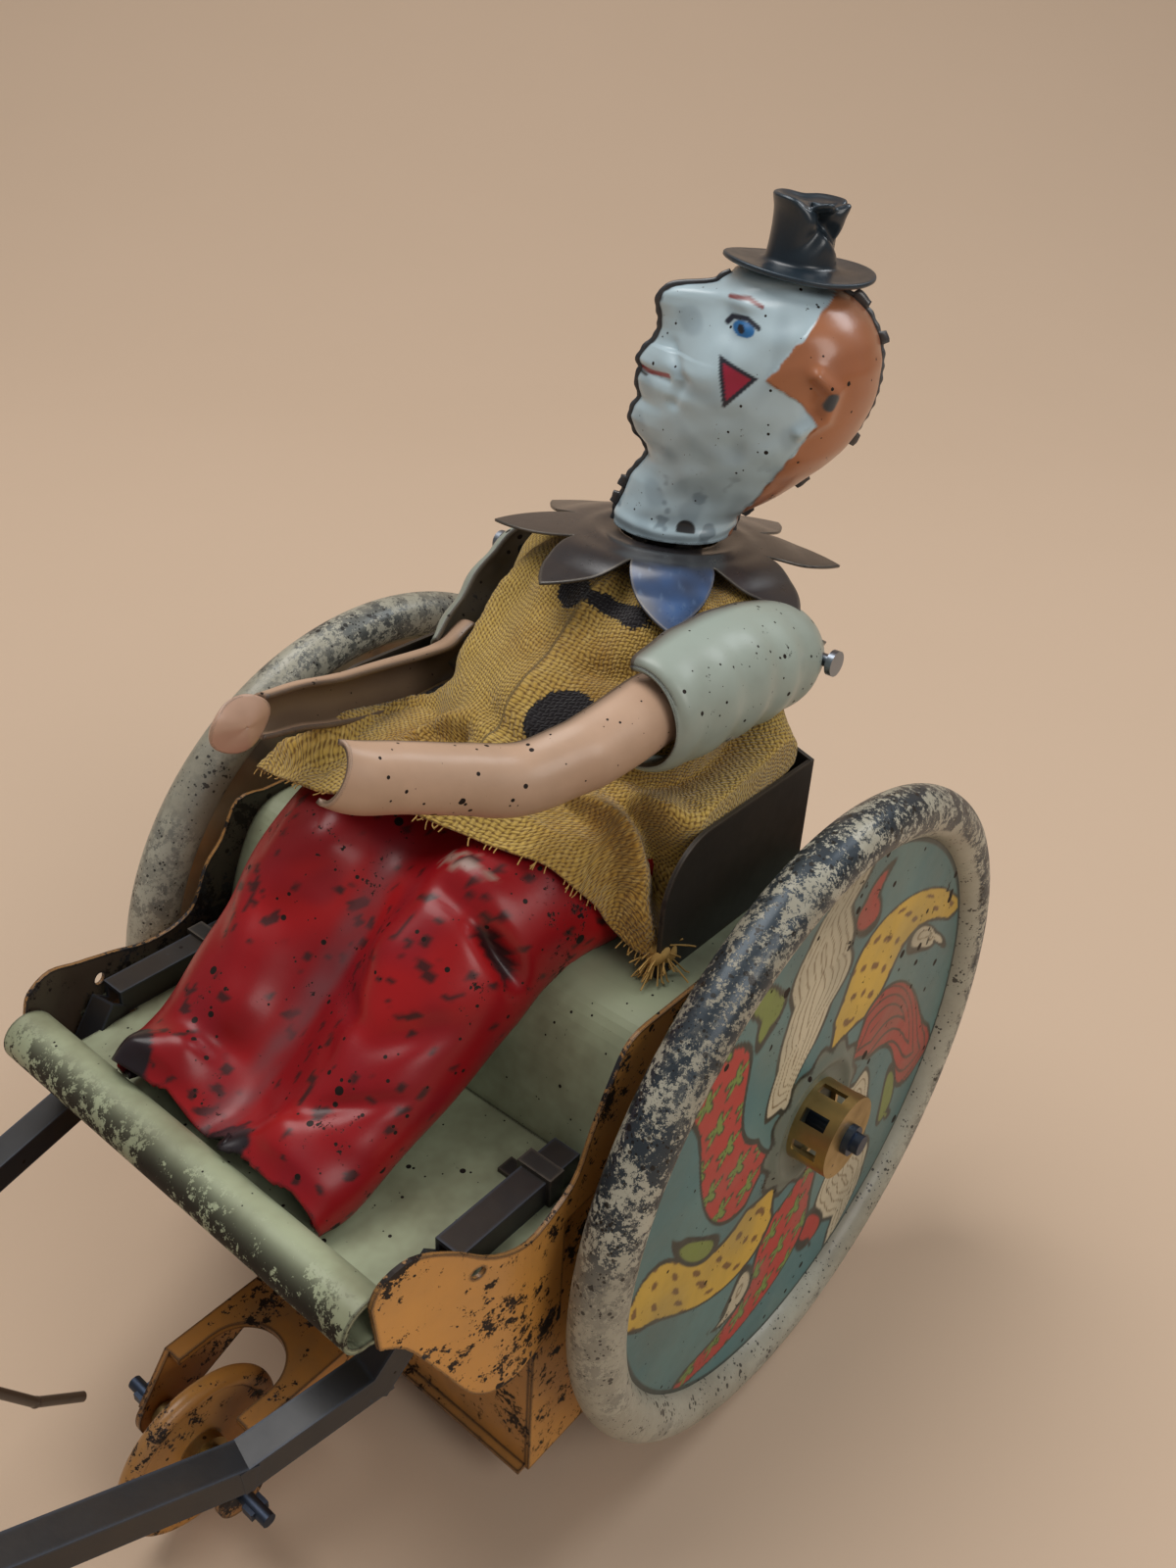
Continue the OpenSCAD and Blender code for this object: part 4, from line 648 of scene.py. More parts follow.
cloth[..., 0] = np.where(inSeat, np.maximum(cloth[..., 0], shirtSet["backAt"]), cloth[..., 0])
shirt = gridPiece("shirtCloth", cloth, True)

# The cloth's own measures: how wide and long it lies flat, and its area
down = np.linalg.norm(np.diff(cloth, axis=0), axis=-1)
flatWidth = np.linalg.norm(np.roll(cloth, -1, 1) - cloth, axis=-1)[shirtSet["widthRow"]].sum()
lengths = np.vstack([np.zeros(count), np.cumsum(down, 0)])
perColour = 100  # millimetres of cloth for one unit of colour
flatPlace = np.broadcast_arrays(np.linspace(0, flatWidth, count, endpoint=False)[None], lengths, 0.0)
storeColour(shirt, "clothPlace", np.stack(flatPlace, -1) / perColour)
spotDistance = np.min([toLine(cloth, one, two)[0] - radius for one, two, radius in shirtSet["spots"]], 0)
storeValue(shirt, "spotDistance", spotDistance + 0.3 * wobble(cloth, 1.6, 4))
solidify(shirt, shirtSet["thick"], 0.0)


# Straw-coloured weave: tones laid over one another by slub and gap, a painted shade where the threads lie low, and
# black where the spot distance is below zero; the threads' height is the relief
def clothMaterial():
    material, n = newMaterial("shirtWeave")
    flat = n.scaled(n.attribute("clothPlace"), float(perColour))
    threads = n.group(weave, Cloth=flat, Pitch=shirtSet["pitch"])
    slub = n.times(n.ramp(n.noise(flat, 1.3, 3.0, 0.7), 0.4, 0.75), 0.5)
    tone = n.mixed(n.ramp(n.noise(n.coords(), 60.0), 0.35, 0.7), (0.57, 0.385, 0.09), (0.38, 0.2, 0.032))
    tone = n.mixed(slub, tone, (0.72, 0.53, 0.2))
    tone = n.mixed(n.times(threads["Gap"], 0.8), tone, (0.12, 0.055, 0.015))
    # Painted shade: darker where the threads lie low
    tone = n.mixed(n.minus(1.0, n.plus(n.times(threads["Height"], 0.45), shirtSet["darkest"])), tone, (0.14, 0.07, 0.02))
    edge = n.plus(n.attribute("spotDistance", "Fac"), n.times(threads["Height"], 0.25))
    tone = n.mixed(n.minus(1.0, n.ramp(edge, -0.05, 0.22)), tone, (0.012, 0.01, 0.012))
    shade(n, {"Base Color": tone, "Roughness": 0.92, "Sheen Weight": 0.25, "Specular IOR Level": 0.2,
              "Normal": n.bump(threads["Height"], 0.8, 0.00016)})
    return material


place(shirt, "clown", "cloth", clothMaterial(), "shirt")

# Frayed threads along the hem, and the knot with its tuft at the near corner
fraySet = {"threads": 240, "reach": (0.25, 0.85), "bend": 0.55, "radius": 0.07, "knot": (16.4, 24.4, 66.9),
           "knotSize": 0.42, "knotRadius": 0.62, "tuft": 46, "tuftReach": (1.8, 4.2), "tuftRadius": 0.09, "lowest": 64.9}
rng = np.random.default_rng(21)
threads = fraySet["threads"]
pick = rng.integers(0, count, threads)
root = cloth[-1, pick][:, None]
out = unit(cloth[-1, pick] - cloth[-6, pick])[:, None]
bend = rng.normal(size=(threads, 3))[:, None] * fraySet["bend"]
reach = rng.uniform(*fraySet["reach"], threads)[:, None, None]
s = np.linspace(-0.2, 1, 6)[None, :, None]
paths = root + out * reach * s + bend * reach * s**2 * 0.6
paths[..., 2] = np.maximum(paths[..., 2], fraySet["lowest"])
fray = makePiece("hemThreads", *tubes(paths, fraySet["radius"], 5))
s = np.linspace(0, 2 * np.pi, 90)
path = np.stack([np.sin(s) + 2 * np.sin(2 * s), np.cos(s) - 2 * np.cos(2 * s), -1.2 * np.sin(3 * s)], -1)
knotPath = path * fraySet["knotSize"] + fraySet["knot"]
knot = makePiece("hemKnot", *tubes(knotPath[None], fraySet["knotRadius"], 12))
tufts = fraySet["tuft"]
way = unit(rng.normal(size=(tufts, 3)) * [0.7, 0.5, 0.35] + [0.75, 0.35, -0.25])[:, None]
s = np.linspace(0, 1, 7)[None, :, None]
start = np.asarray(fraySet["knot"]) + rng.normal(size=(tufts, 1, 3)) * 0.35
paths = start + way * rng.uniform(*fraySet["tuftReach"], tufts)[:, None, None] * s
paths[..., 2] = np.maximum(paths[..., 2] - 0.8 * s[..., 0] ** 2, fraySet["lowest"])
tuft = makePiece("hemTuft", *tubes(paths, fraySet["tuftRadius"], 5))


# Two straw tones mixed by fine noise
def threadMaterial():
    material, n = newMaterial("shirtThread")
    shade(n, {"Base Color": n.mixed(n.noise(n.coords(), 900.0, 3.0), (0.42, 0.24, 0.06), (0.62, 0.4, 0.13)),
              "Roughness": 0.9})
    return material


threadCover = threadMaterial()
for piece in (fray, knot, tuft):
    place(piece, "clown", "cloth", threadCover)

# Arms: open half shells along knots of x, z, half width and depth; edge gives how far out the open side lies, as x, y
armSet = {
    "sleeveLeft": {"knots": [[-15.2, 87.4, 1.0, 1.2], [-14.4, 87.5, 3.0, 3.4], [-11.8, 87.8, 4.8, 5.0],
                             [-6.5, 88.5, 5.7, 5.9], [0, 89.2, 6.1, 6.2], [5.5, 89.3, 6.1, 6.1], [9.6, 89.1, 5.9, 5.7],
                             [11.9, 88.9, 5.5, 5.2], [12.8, 88.9, 4.7, 4.3]],
                   "side": 1, "edge": [[-17, 17.2], [16, 17.0]]},
    "forearmLeft": {"knots": [[8, 89.2, 2.6, 3.4], [12, 88.9, 3.2, 3.8], [19, 87.4, 3.2, 3.6], [25.4, 86.1, 3.0, 3.2],
                              [31, 87.5, 2.8, 2.9], [36, 89.2, 2.7, 2.6], [40.6, 90.8, 2.7, 2.3],
                              [43.2, 92.2, 2.4, 1.5]],
                    "side": 1, "edge": [[8, 17.0], [20, 15.6], [30, 11.6], [38, 9.4], [46, 8.2]]},
    "sleeveRight": {"knots": [[-15.4, 90.0, 0.8, 1.0], [-13.6, 90.2, 2.2, 2.6], [-10, 89.2, 3.0, 3.6],
                              [-5, 86.2, 3.1, 3.8], [0, 82.8, 3.0, 3.6], [3.8, 80.4, 2.9, 3.2]],
                    "side": -1, "edge": [[-17, 17.4], [-6, 17.6], [5, 16.4]], "last": 66},
    "forearmRight": {"knots": [[0, 81.4, 2.5, 2.8], [4.5, 79.9, 2.7, 2.9], [11, 80.7, 2.6, 2.8], [22.4, 82.8, 2.3, 2.4],
                               [28, 84.2, 2.1, 2.1], [33.5, 85.3, 1.9, 1.7]],
                     "side": -1, "edge": [[0, 16.6], [12, 15.2], [22, 14.4], [34, 13.4]]}}
armSheet = 0.5
sleeveCover = painted("sleeveGrey", (0.34, 0.4, 0.35), bare=(0.07, 0.07, 0.07), chips=0.26, edge=1.0, specks=0.6,
                      blots=0.4, rough=0.42, coat=0.12, shine=0.4, inner=(0.12, 0.1, 0.08), grime=0.4,
                      dirt=(0.16, 0.15, 0.11))
fleshCover = painted("armFlesh", (0.56, 0.37, 0.255), bare=(0.08, 0.07, 0.07), chips=0.2, edge=0.8, specks=0.6,
                     blots=0.35, rough=0.42, coat=0.15, shine=0.4, inner=(0.13, 0.085, 0.055), grime=0.35,
                     dirt=(0.22, 0.15, 0.09))


# An arc of sine and cosine from the first to the last angle about the path, with ridges as a slow sine along it
def armShell(name, knots, side, edge, last=104):
    sleeve = name.startswith("sleeve")
    x, z, wide, deep = smoothLine(knots, 90 if sleeve else 110).T[..., None]
    slope = unit(np.gradient(np.hstack([x, z]), axis=0))
    turn = np.radians(np.linspace(-104, last, 44))
    across = wide * np.sin(turn)
    out = np.interp(x, *np.asarray(edge, float).T) + deep * np.cos(turn)
    grid = np.stack([x - slope[:, 1:] * across, side * out, z + slope[:, :1] * across], -1)
    ridge = 0.1 * np.sin(x * 0.5)
    if sleeve:
        ridge = 0.26 * np.sin(x * 1.15 + 0.6 * np.sin(turn * 2)) * np.cos(turn)
    grid[..., 1] += side * (ridge + 0.12 * wobble(grid, 6, 31))
    shell = gridPiece(name, grid, flip=side > 0)
    solidify(shell, armSheet)
    arm = "arm_left" if side > 0 else "arm_right"
    if sleeve:
        place(shell, "clown_" + arm, "tin_grey", sleeveCover, arm)
    else:
        place(shell, "clown_" + arm, "tin_flesh", fleshCover)


for name, values in armSet.items():
    armShell(name, **values)

# The far hand is an oval cup that shows its flesh side
handSet = {"at": (36.4, -12.2, 85.7), "long": 3.5, "tall": 2.8, "deep": 1.0, "lobes": 0.25}
r, turn = np.linspace(0.02, 1, 18)[:, None], fullTurn(60)
palm = np.stack([handSet["long"] * r * np.cos(turn), handSet["lobes"] * np.sin(3 * turn) * r - handSet["deep"] * r**2,
                 handSet["tall"] * r * np.sin(turn)], -1) + handSet["at"]
hand = gridPiece("handRight", palm, True)
solidify(hand, armSheet, 0.0)
place(hand, "clown_arm_right", "tin_flesh", painted("palmFlesh", (0.68, 0.43, 0.31), bare=(0.1, 0.09, 0.08), chips=0.15,
                                                    edge=0.5, specks=0.5, rough=0.34))

# Two bent tabs that close the near sleeve, each a place, a size and a lean in radians
tabSet = {"tabs": [[(3.2, 21.6648, 85.6), 2.0, 0.2], [(-13.6, 20.3, 88.6), 1.9, -0.9]], "scale": 0.62, "bent": 0.28,
          "outline": [[-1, -0.8], [1, -0.8], [0.9, 0.3], [0.1, 1.0], [-0.8, 0.4]], "thick": (0, 0.75, 0.12),
          "round": 0.18}
tabCorners = len(tabSet["outline"])
tabPoints, tabFaces = [], []
for spot, size, lean in tabSet["tabs"]:
    c, s = np.cos(lean), np.sin(lean)
    flat = np.array(tabSet["outline"]) * size * tabSet["scale"] @ [[c, s], [-s, c]]
    low = np.column_stack([flat[:, 0], tabSet["bent"] * flat[:, 1], flat[:, 1]]) + spot
    k = len(tabPoints) * tabCorners
    tabPoints += [low, low + tabSet["thick"]]
    foot, top = list(range(k, k + tabCorners)), list(range(k + tabCorners, k + 2 * tabCorners))
    tabFaces += [foot[::-1], top]
    tabFaces += [[*pair, other, one] for pair, one, other in zip(zip(foot, foot[1:] + foot[:1]), top, top[1:] + top[:1])]
tabPiece = makePiece("sleeveTabs", np.vstack(tabPoints), tabFaces, smooth=False)
soft = tabPiece.modifiers.new("round", "BEVEL")
soft.width, soft.segments = tabSet["round"] / perMetre, 2
place(tabPiece, "clown_arm_left", "tin_grey", painted("tabTin", (0.3, 0.3, 0.26), chips=0.35, edge=1.0, rough=0.34))
print("arms made")

# Head: outlines as height and reach along the head's own line of sight s, the same as in the CAD source but smoothed,
# with finer features: dabs as height, s, z, width and tallness, and ridges as height, width and points of s, z
headSet = {
    "profile": [[96.9, 6.4], [98.5, 6.2], [100.4, 5.4], [102.4, 4.8], [103.6, 3.8], [104.8, 3], [106, 3.4], [107.2, 4.6],
                [108.7, 5.3], [109.9, 4.9], [110.8, 4.2], [111.8, 4.6], [112.8, 4.8], [113.8, 4.4], [114.8, 4.8],
                [115.8, 4.2], [117, 3.1], [118.2, 2.7], [119.4, 2.8], [120.6, 3.2], [121.6, 2.9], [122.2, 2],
                [122.6, 0.4], [122.9, -2.6], [123.5, -3.2], [124.1, -4.2]],
    "face": [[96.9, 6.2], [100, 5], [103, 3.2], [106, 2.6], [110, 2.8], [114, 2], [118, -0.2], [121, -2], [123, -3.2],
             [124.1, -4.6]],
    "nape": [[96.9, -6.9], [98.9, -7.3], [99.8, -8], [100.6, -9.4], [102, -11.6], [104, -14], [106, -16.3], [108, -18],
             [110, -19.1], [112, -19.9], [114.5, -20.3], [117, -20.2], [119, -19.6], [121, -18.4], [122.5, -16.6],
             [123.5, -14.8], [124.1, -13]],
    "cheek": [[96.9, 6.3], [99, 6], [101, 6.5], [104, 7.7], [108, 9.7], [113, 10.9], [117, 11], [120, 10.1], [122.5, 8],
              [124.1, 6]],
    "smoothing": {"profile": 0.22, "face": 0.8, "nape": 0.5, "cheek": 0.8},
    "hairLine": ([96.9, 99.8, 112.2, 114.2, 116.1, 123.6, 124.1], [-6.6, -7.5, -14.0, -12.4, -8.7, -14.4, -14.6]),
    "dabs": [[-0.75, -4.6, 119.9, 2.0, 1.5], [0.35, -5.8, 120.2, 0.9, 0.6], [0.5, -5.5, 122.4, 2.4, 0.7],
             [0.55, -2.2, 115.4, 2.4, 1.7], [0.35, 0.6, 115.3, 1.8, 0.6], [0.35, 0.6, 112.6, 1.8, 0.7],
             [-0.5, -13.4, 114, 1.0, 1.2], [-0.4, -3.5, 102, 2.6, 1.3], [-0.35, -6.8, 108.4, 1.6, 1.3]],
    "ridges": [[-0.45, 0.6, (1.2, 117), (-0.6, 114.4), (0.4, 112)], [-0.45, 0.35, (5, 114), (1.2, 113.9)],
               [0.9, 0.75, (-13.6, 117), (-15.4, 115.4), (-14.8, 112.6), (-12.6, 111.2)],
               [0.4, 1.3, (-11.5, 110), (-7, 106.5), (-2, 104.5)], [0.4, 0.6, (-8.5, 98.2), (0, 97.9), (6, 98.2)]],
    # Painted lines of lashes, brow and mouth: colour, points, half width and how soft the edge is
    "lines": [[(0.012, 0.014, 0.03), [(-7.4, 120.5), (-6.2, 121.1), (-4.6, 121.0), (-4.0, 120.4)], 0.16, 0.14],
              [(0.25, 0.05, 0.05), [(-7.6, 122.3), (-6.3, 122.8), (-4.4, 122.6)], 0.1, 0.16],
              [(0.42, 0.03, 0.04), [(5.2, 114.1), (3.4, 114.0), (1.2, 114.3)], 0.16, 0.14],
              [(0.02, 0.02, 0.025), [(5.4, 113.6), (3.8, 113.55)], 0.06, 0.14]],
    "earHole": [(-15.2, 114.9), (-14.9, 114.2)], "cheekMark": [(-4.3, 117.1), (-7.3, 116.0), (-5.0, 113.5)],
    "eye": (-5.8, 120.15), "eyeSize": (1.25, 0.72), "pupil": (-5.6, 120.15), "neckHole": (-2, 98.6),
    "crown": (0.3, 0.55, 0.75, 0.9, 0.98), "tint": (0.92, 1.02, 1.04), "hairLift": 0.16, "sheet": 0.45,
    "low": 96.9, "high": 124.1, "turn": 58, "neckX": -14, "rows": 210, "steps": 180}


# One of the head's outlines at the heights z, smoothed by a bell of its own width
def outline(label, z):
    table, width = np.asarray(headSet[label], float), headSet["smoothing"][label]
    fine = np.linspace(table[0, 0] - 3, table[-1, 0] + 3, 900)
    gap = fine[1] - fine[0]
    reach = int(width / gap * 3)
    kernel = bell(np.arange(-reach, reach + 1) * gap, width)
    padded = np.pad(np.interp(fine, *table.T), reach, mode="edge")
    return np.interp(z, fine, np.convolve(padded, kernel / kernel.sum(), "valid"))


# From the head's own forward, side and height to the toy's, turned about the neck
def toHead(s, y, z):
    c, d = np.cos(np.radians(headSet["turn"])), np.sin(np.radians(headSet["turn"]))
    return np.stack(np.broadcast_arrays(headSet["neckX"] + s * c + y * d, -s * d + y * c, z), -1)


# Half the head: a cosine of the turn carries each ring from face to nape, a sine from the middle to the cheek
z = np.linspace(headSet["low"], headSet["high"], headSet["rows"])[:, None]
phi = np.linspace(0, np.pi, headSet["steps"])[None]
profileS, faceS, napeS, cheekY = [outline(label, z) for label in ("profile", "face", "nape", "cheek")]
middle = (2 * faceS + 3 * napeS) / 5
halfY = cheekY * np.sin(phi) ** 0.9
ahead = (profileS - faceS) * np.exp(-(halfY**2) / np.where(z > 116.5, 7, 14))
headS = middle + np.where(phi < np.pi / 2, (faceS - middle) * np.cos(phi) + ahead, (middle - napeS) * np.cos(phi))
headZ = np.broadcast_to(z, headS.shape)
sideView = np.stack([headS, headZ], -1)


# Distance to a line through points, as seen from the side
def stroke(points, width=0.0):
    return np.min([toLine(sideView, one, two)[0] for one, two in zip(points[:-1], points[1:])], 0) - width


# A round mark seen from the side: 1 inside, 0 outside
def roundMark(at, size, low, high):
    return 1 - step(np.hypot(*np.moveaxis((sideView - at) / size, -1, 0)), low, high)


relief = sum(high * bell(headS - s0, wide) * bell(headZ - z0, tall) for high, s0, z0, wide, tall in headSet["dabs"])
relief += sum(high * bell(stroke(points), wide) for high, wide, *points in headSet["ridges"])
relief += 0.12 * wobble(np.stack([headS, halfY, headZ], -1), 4, 9)
hairLine = np.interp(headZ, *headSet["hairLine"])
relief = relief * step(halfY, 0.0, 1.2) + headSet["hairLift"] * step(halfY, 0.0, 1.0) * (headS < hairLine)
shownS, shownY = headS + relief * np.cos(phi) * 0.6, halfY + relief * np.sin(phi)
field = np.stack([headS, halfY * 0, headZ], -1)
# Signed distances to the sides of the cheek's three-cornered mark; it is inside where all have one sign
corners = headSet["cheekMark"]
sides = np.stack([((headS - s0) * (z1 - z0) - (headZ - z0) * (s1 - s0)) / np.hypot(s1 - s0, z1 - z0)
                  for (s0, z0), (s1, z1) in zip(corners, corners[1:] + corners[:1])])
inMark = -np.minimum(sides.max(0), (-sides).max(0))
cheeks = step(halfY, 2, 3)
colour = layered(
    [0.56, 0.66, 0.72],
    ([0.36, 0.44, 0.5], step(wobble(field, 5, 14), 0.05, 0.5) * 0.6),
    ([0.2, 0.25, 0.3], step(wobble(field, 3.2, 15) + 0.4 * wobble(field, 1.1, 18), 0.3, 0.55)
     * step(-headZ, -111, -99) * 0.7),
    ([0.015, 0.015, 0.03], step(inMark, -0.42, -0.3) * cheeks),
    ([0.42, 0.012, 0.045], step(inMark, -0.02, 0.1) * cheeks),
    ([0.02, 0.16, 0.42], roundMark(headSet["eye"], headSet["eyeSize"], 0.92, 1.05) * cheeks),
    ([0.005, 0.008, 0.02], roundMark(headSet["pupil"], 1, 0.36, 0.46)),
    *[(tone, 1 - step(stroke(points, width), 0, soft)) for tone, points, width, soft in headSet["lines"]],
    ([0.012, 0.01, 0.012], roundMark(headSet["neckHole"], 1, 0.95, 1.1) * step(headZ, 98.2, 98.35) * cheeks),
    ([0.47, 0.15, 0.055], step(hairLine - headS + 0.35 * wobble(field, 1.7, 16), -0.1, 0.1)),
    ([0.36, 0.1, 0.035], step(hairLine - headS, 2, 7) * 0.35),
    ([0.04, 0.045, 0.055], 1 - step(stroke(headSet["earHole"], 0.42), 0, 0.25)),
    ([0.03, 0.03, 0.04], 1 - step(halfY + 0.25 * wobble(field, 1.2, 17), 0.35, 0.7)))

# The other half mirrored, and a low dome that closes the crown under the hat
whole = np.concatenate([toHead(shownS, shownY, headZ), toHead(shownS, -shownY, headZ)[:, -2:0:-1]], 1)
wholeColour = np.concatenate([colour, colour[:, -2:0:-1]], 1)
crownMid = toHead((faceS[-1, 0] + napeS[-1, 0]) / 2, 0.0, headSet["high"])
dome = [crownMid + (whole[-1] - crownMid) * np.sqrt(1 - q * q * 0.999) + [0, 0, q] for q in headSet["crown"]]
whole = np.concatenate([whole, np.stack(dome)])
wholeColour = np.concatenate([wholeColour, np.repeat(wholeColour[-1:], len(dome), 0)])
head = gridPiece("headShell", whole, True)
solidify(head, headSet["sheet"])
storeColour(head, "headTint", wholeColour * headSet["tint"])
place(head, "clown_head", "tin_white",
      painted("headPaint", "headTint", bare=(0.05, 0.055, 0.065), chips=0.24, edge=0.55, specks=0.4, rough=0.33,
              coat=0.3, blots=0.28, grime=0.16, dirt=(0.14, 0.15, 0.15)), "head_left", "head_right")

# The crimped seam round the head, with its small tabs; the section is how far out and how far aside
seamSet = {"reach": 0.42, "wave": 0.06, "tab": 0.55, "section": [(-0.35, 0.2), (-0.35, 0.34), (0.5, 0.34), (1.0, 0.2)],
           "seams": [["seamFront", "profile", 1, (99.2, 101.2)],
                     ["seamBack", "nape", -1, (99.6, 103.6, 108.5, 118.6, 122)]]}
zLine = np.linspace(headSet["low"], 124.0, 260)
section = seamSet["section"] + [(edge, -aside) for edge, aside in seamSet["section"][::-1]]
for name, label, sign, tabsAt in seamSet["seams"]:
    line = np.stack([outline(label, zLine), zLine], -1)
    way = unit(np.gradient(line, axis=0))
    outward = np.stack([way[:, 1], -way[:, 0]], -1) * sign
    reach = seamSet["reach"] + seamSet["wave"] * np.sin(zLine * 5)
    reach = reach + seamSet["tab"] * sum(np.abs(zLine - mark) < seamSet["tab"] for mark in tabsAt)
    ring = []
    for edge, aside in section:
        s, up = (line + outward * edge * (reach[:, None] if edge > 0 else 1)).T
        ring.append(toHead(s, aside, up))
    seam = gridPiece(name, np.stack(ring, 1), True, flip=sign < 0)
    place(seam, "clown_head", "tin_white", painted(name + "Tin", (0.02, 0.024, 0.034), bare=(0.2, 0.22, 0.24), chips=0.3,
                                                   edge=0.9, specks=0.2, rough=0.32, bareMetal=0.9))
print("head made")


# Turns a place along and up by a lean in degrees
def leaned(along, up, degrees):
    c, d = np.cos(np.radians(degrees)), np.sin(np.radians(degrees))
    return along * c - up * d, along * d + up * c


# Hat: a lathe of radius and height; each dent is a depth, the turn where it sits, how that drifts with height, the
# height it is told at, and a width, and pushes the crown in as a bell of the turn
hatSet = {"profile": [[3.55, 0.1], [7.0, -0.05], [7.7, 0.1], [7.8, 0.35], [7.6, 0.55], [6.6, 0.5], [4.6, 0.5],
                      [3.75, 0.75], [3.55, 1.5], [3.5, 3.4], [3.62, 5.2], [3.9, 6.3], [3.95, 6.65], [3.7, 6.85],
                      [3.3, 6.75], [2.6, 6.45], [1.4, 6.3], [0.05, 6.3]],
          "dents": [[1.3, 2.5, -0.35, 4, 0.34], [0.9, 1.75, 0.2, 3, 0.28], [0.7, 3.3, 0, 0, 0.22],
                    [0.4, 5.0, 0, 0, 0.4]],
          "at": (-10.7, 124.75), "lean": 5, "crown": 3.5, "sink": 0.55, "wave": 0.22}
r, h = smoothLine(hatSet["profile"], 130).T[..., None]
turn = fullTurn(150)
dent = step(h, 1.2, 4.5) * sum(deep * bell(turn - at - drift * (h - base), wide)
                               for deep, at, drift, base, wide in hatSet["dents"])
radius = r - dent * np.minimum(r / hatSet["crown"], 1)
up = h - hatSet["sink"] * dent * step(h, 5.6, 6.6) + hatSet["wave"] * np.sin(2 * turn + 0.6) * step(r, 4.5, 7.8)
along, up = leaned(radius * np.cos(turn), up, hatSet["lean"])
hat = gridPiece("hatTin", toHead(hatSet["at"][0] + along, radius * np.sin(turn), hatSet["at"][1] + up), True, flip=True)
place(hat, "clown_head", "tin_black",
      painted("hatTin", (0.012, 0.026, 0.04), bare=(0.08, 0.11, 0.14), chips=0.24, edge=0.85, specks=0.3, rough=0.32,
              coat=0.2, grime=0.3, dirt=(0.02, 0.02, 0.022), bareMetal=0.8), "hat")

# Collar: pointed petals, each bent down by its own angle in degrees, the nearest with a painted blue reflection
collarSet = {"ring": 11.0, "tip": 19.8, "hole": 5.6, "at": (-14, 95.6), "lean": 5, "first": 38,
             "bend": [30, 16, 8, 6, 6, 8, 2, 16], "bendOver": 5.5, "point": 0.66, "bead": (8.6, 1.2, 0.25),
             "sheet": 0.28, "tint": (0.62, 0.8, 1.0)}
petals = len(collarSet["bend"])
turn = fullTurn(720)
petalTurn = (np.degrees(turn) - collarSet["first"]) / (360 / petals)
which = np.round(petalTurn).astype(int) % petals
off = np.abs(petalTurn - np.round(petalTurn)) * 2
tip = collarSet["ring"] + (collarSet["tip"] - collarSet["ring"]) * np.maximum(1 - off, 0.012) ** collarSet["point"]
radius = collarSet["hole"] + (tip - collarSet["hole"]) * np.linspace(0, 1, 46)[:, None]
beyond = np.maximum(radius - collarSet["ring"] + 0.6, 0)
bend = np.radians(np.asarray(collarSet["bend"], float)[which]) * step(beyond, 0, collarSet["bendOver"])
beadAt, beadWide, beadHigh = collarSet["bead"]
flatR = radius - beyond * (1 - np.cos(bend))
drop = beyond * np.sin(bend) - beadHigh * bell(radius - beadAt, beadWide) + 0.02 * np.maximum(radius - 8, 0)
along, up = leaned(flatR * np.cos(turn), -drop, collarSet["lean"])
collarGrid = np.stack([collarSet["at"][0] + along, flatR * np.sin(turn), collarSet["at"][1] + up], -1)
collar = gridPiece("collarTin", collarGrid, True, flip=True)
solidify(collar, collarSet["sheet"], 0.0)
# Painted reflection: a blue sheen with lighter glints on the nearest, bent-down petal
frontPetalSheen = (which == 0) * step(beyond, 0.5, 3.0)
collarColour = layered([0.028, 0.024, 0.026],
                       ([0.07, 0.17, 0.36], frontPetalSheen * (0.55 + 0.45 * wobble(collarGrid, 3, 2))),
                       ([0.16, 0.22, 0.32], frontPetalSheen * step(wobble(collarGrid, 1.1, 5), 0.3, 0.6) * 0.7))
storeColour(collar, "collarTint", collarColour * collarSet["tint"])
place(collar, "clown", "tin_black",
      painted("collarPaint", "collarTint", bare=(0.2, 0.18, 0.15), chips=0.2, edge=0.75, specks=0.35, rough=0.3,
              coat=0.4, grime=0.4, dirt=(0.07, 0.055, 0.045), bareMetal=0.8), "collar")
print("hat and collar made")

# Drive wheels: a rolled rim round a flat disc, with the print as a fine disc on the outer face. The section is radius
# and distance out along the axle: 5 points on the disc, 60 round the roll, then the inside down to the hub
wheelSet = {"r": 40.0, "rim": 2.9, "mid": 35.4, "disc": 35.5, "sheet": 0.6, "axle": 40.0, "print": 34.4, "hole": 1.3,
            "roll": (188, -164), "rollSteps": 60, "discSteps": 5, "ripple": 0.1, "around": 300, "bead": (7.6, 0.9, 0.55),
            # The inside of the disc: radius and how deep a groove there is
            "inside": [[33.4, 0], [24, 0], [16, 0], [8.6, 0], [7.6, 0.9], [6.6, 0], [3, 0], [1.3, 0]]}
ringR = wheelSet["r"] - wheelSet["rim"]
outerY = wheelSet["disc"] + wheelSet["sheet"]
roll = np.radians(np.linspace(*wheelSet["roll"], wheelSet["rollSteps"]))
steps = wheelSet["discSteps"]
onDisc = np.linspace(wheelSet["print"] - 0.1, ringR - wheelSet["rim"] + 0.35, steps)
rimLine = np.concatenate([
    np.stack([onDisc, outerY + np.linspace(0, 0.15, steps)], -1),
    np.stack([ringR + (wheelSet["rim"] - 0.02) * np.cos(roll), wheelSet["mid"] + wheelSet["rim"] * np.sin(roll)], -1),
    [[r, wheelSet["disc"] - groove] for r, groove in wheelSet["inside"]]])


# The section turned about the axle, with a slight ripple of three waves on the outermost edge
def wheelGrid(line, side):
    turn = fullTurn(wheelSet["around"])
    r = line[:, :1] + wheelSet["ripple"] * np.sin(3 * turn + 1) * (line[:, :1] > wheelSet["r"] - 1)
    y = np.broadcast_to(side * line[:, 1:], r.shape)
    return np.stack([r * np.cos(turn), y, wheelSet["axle"] + r * np.sin(turn)], -1)


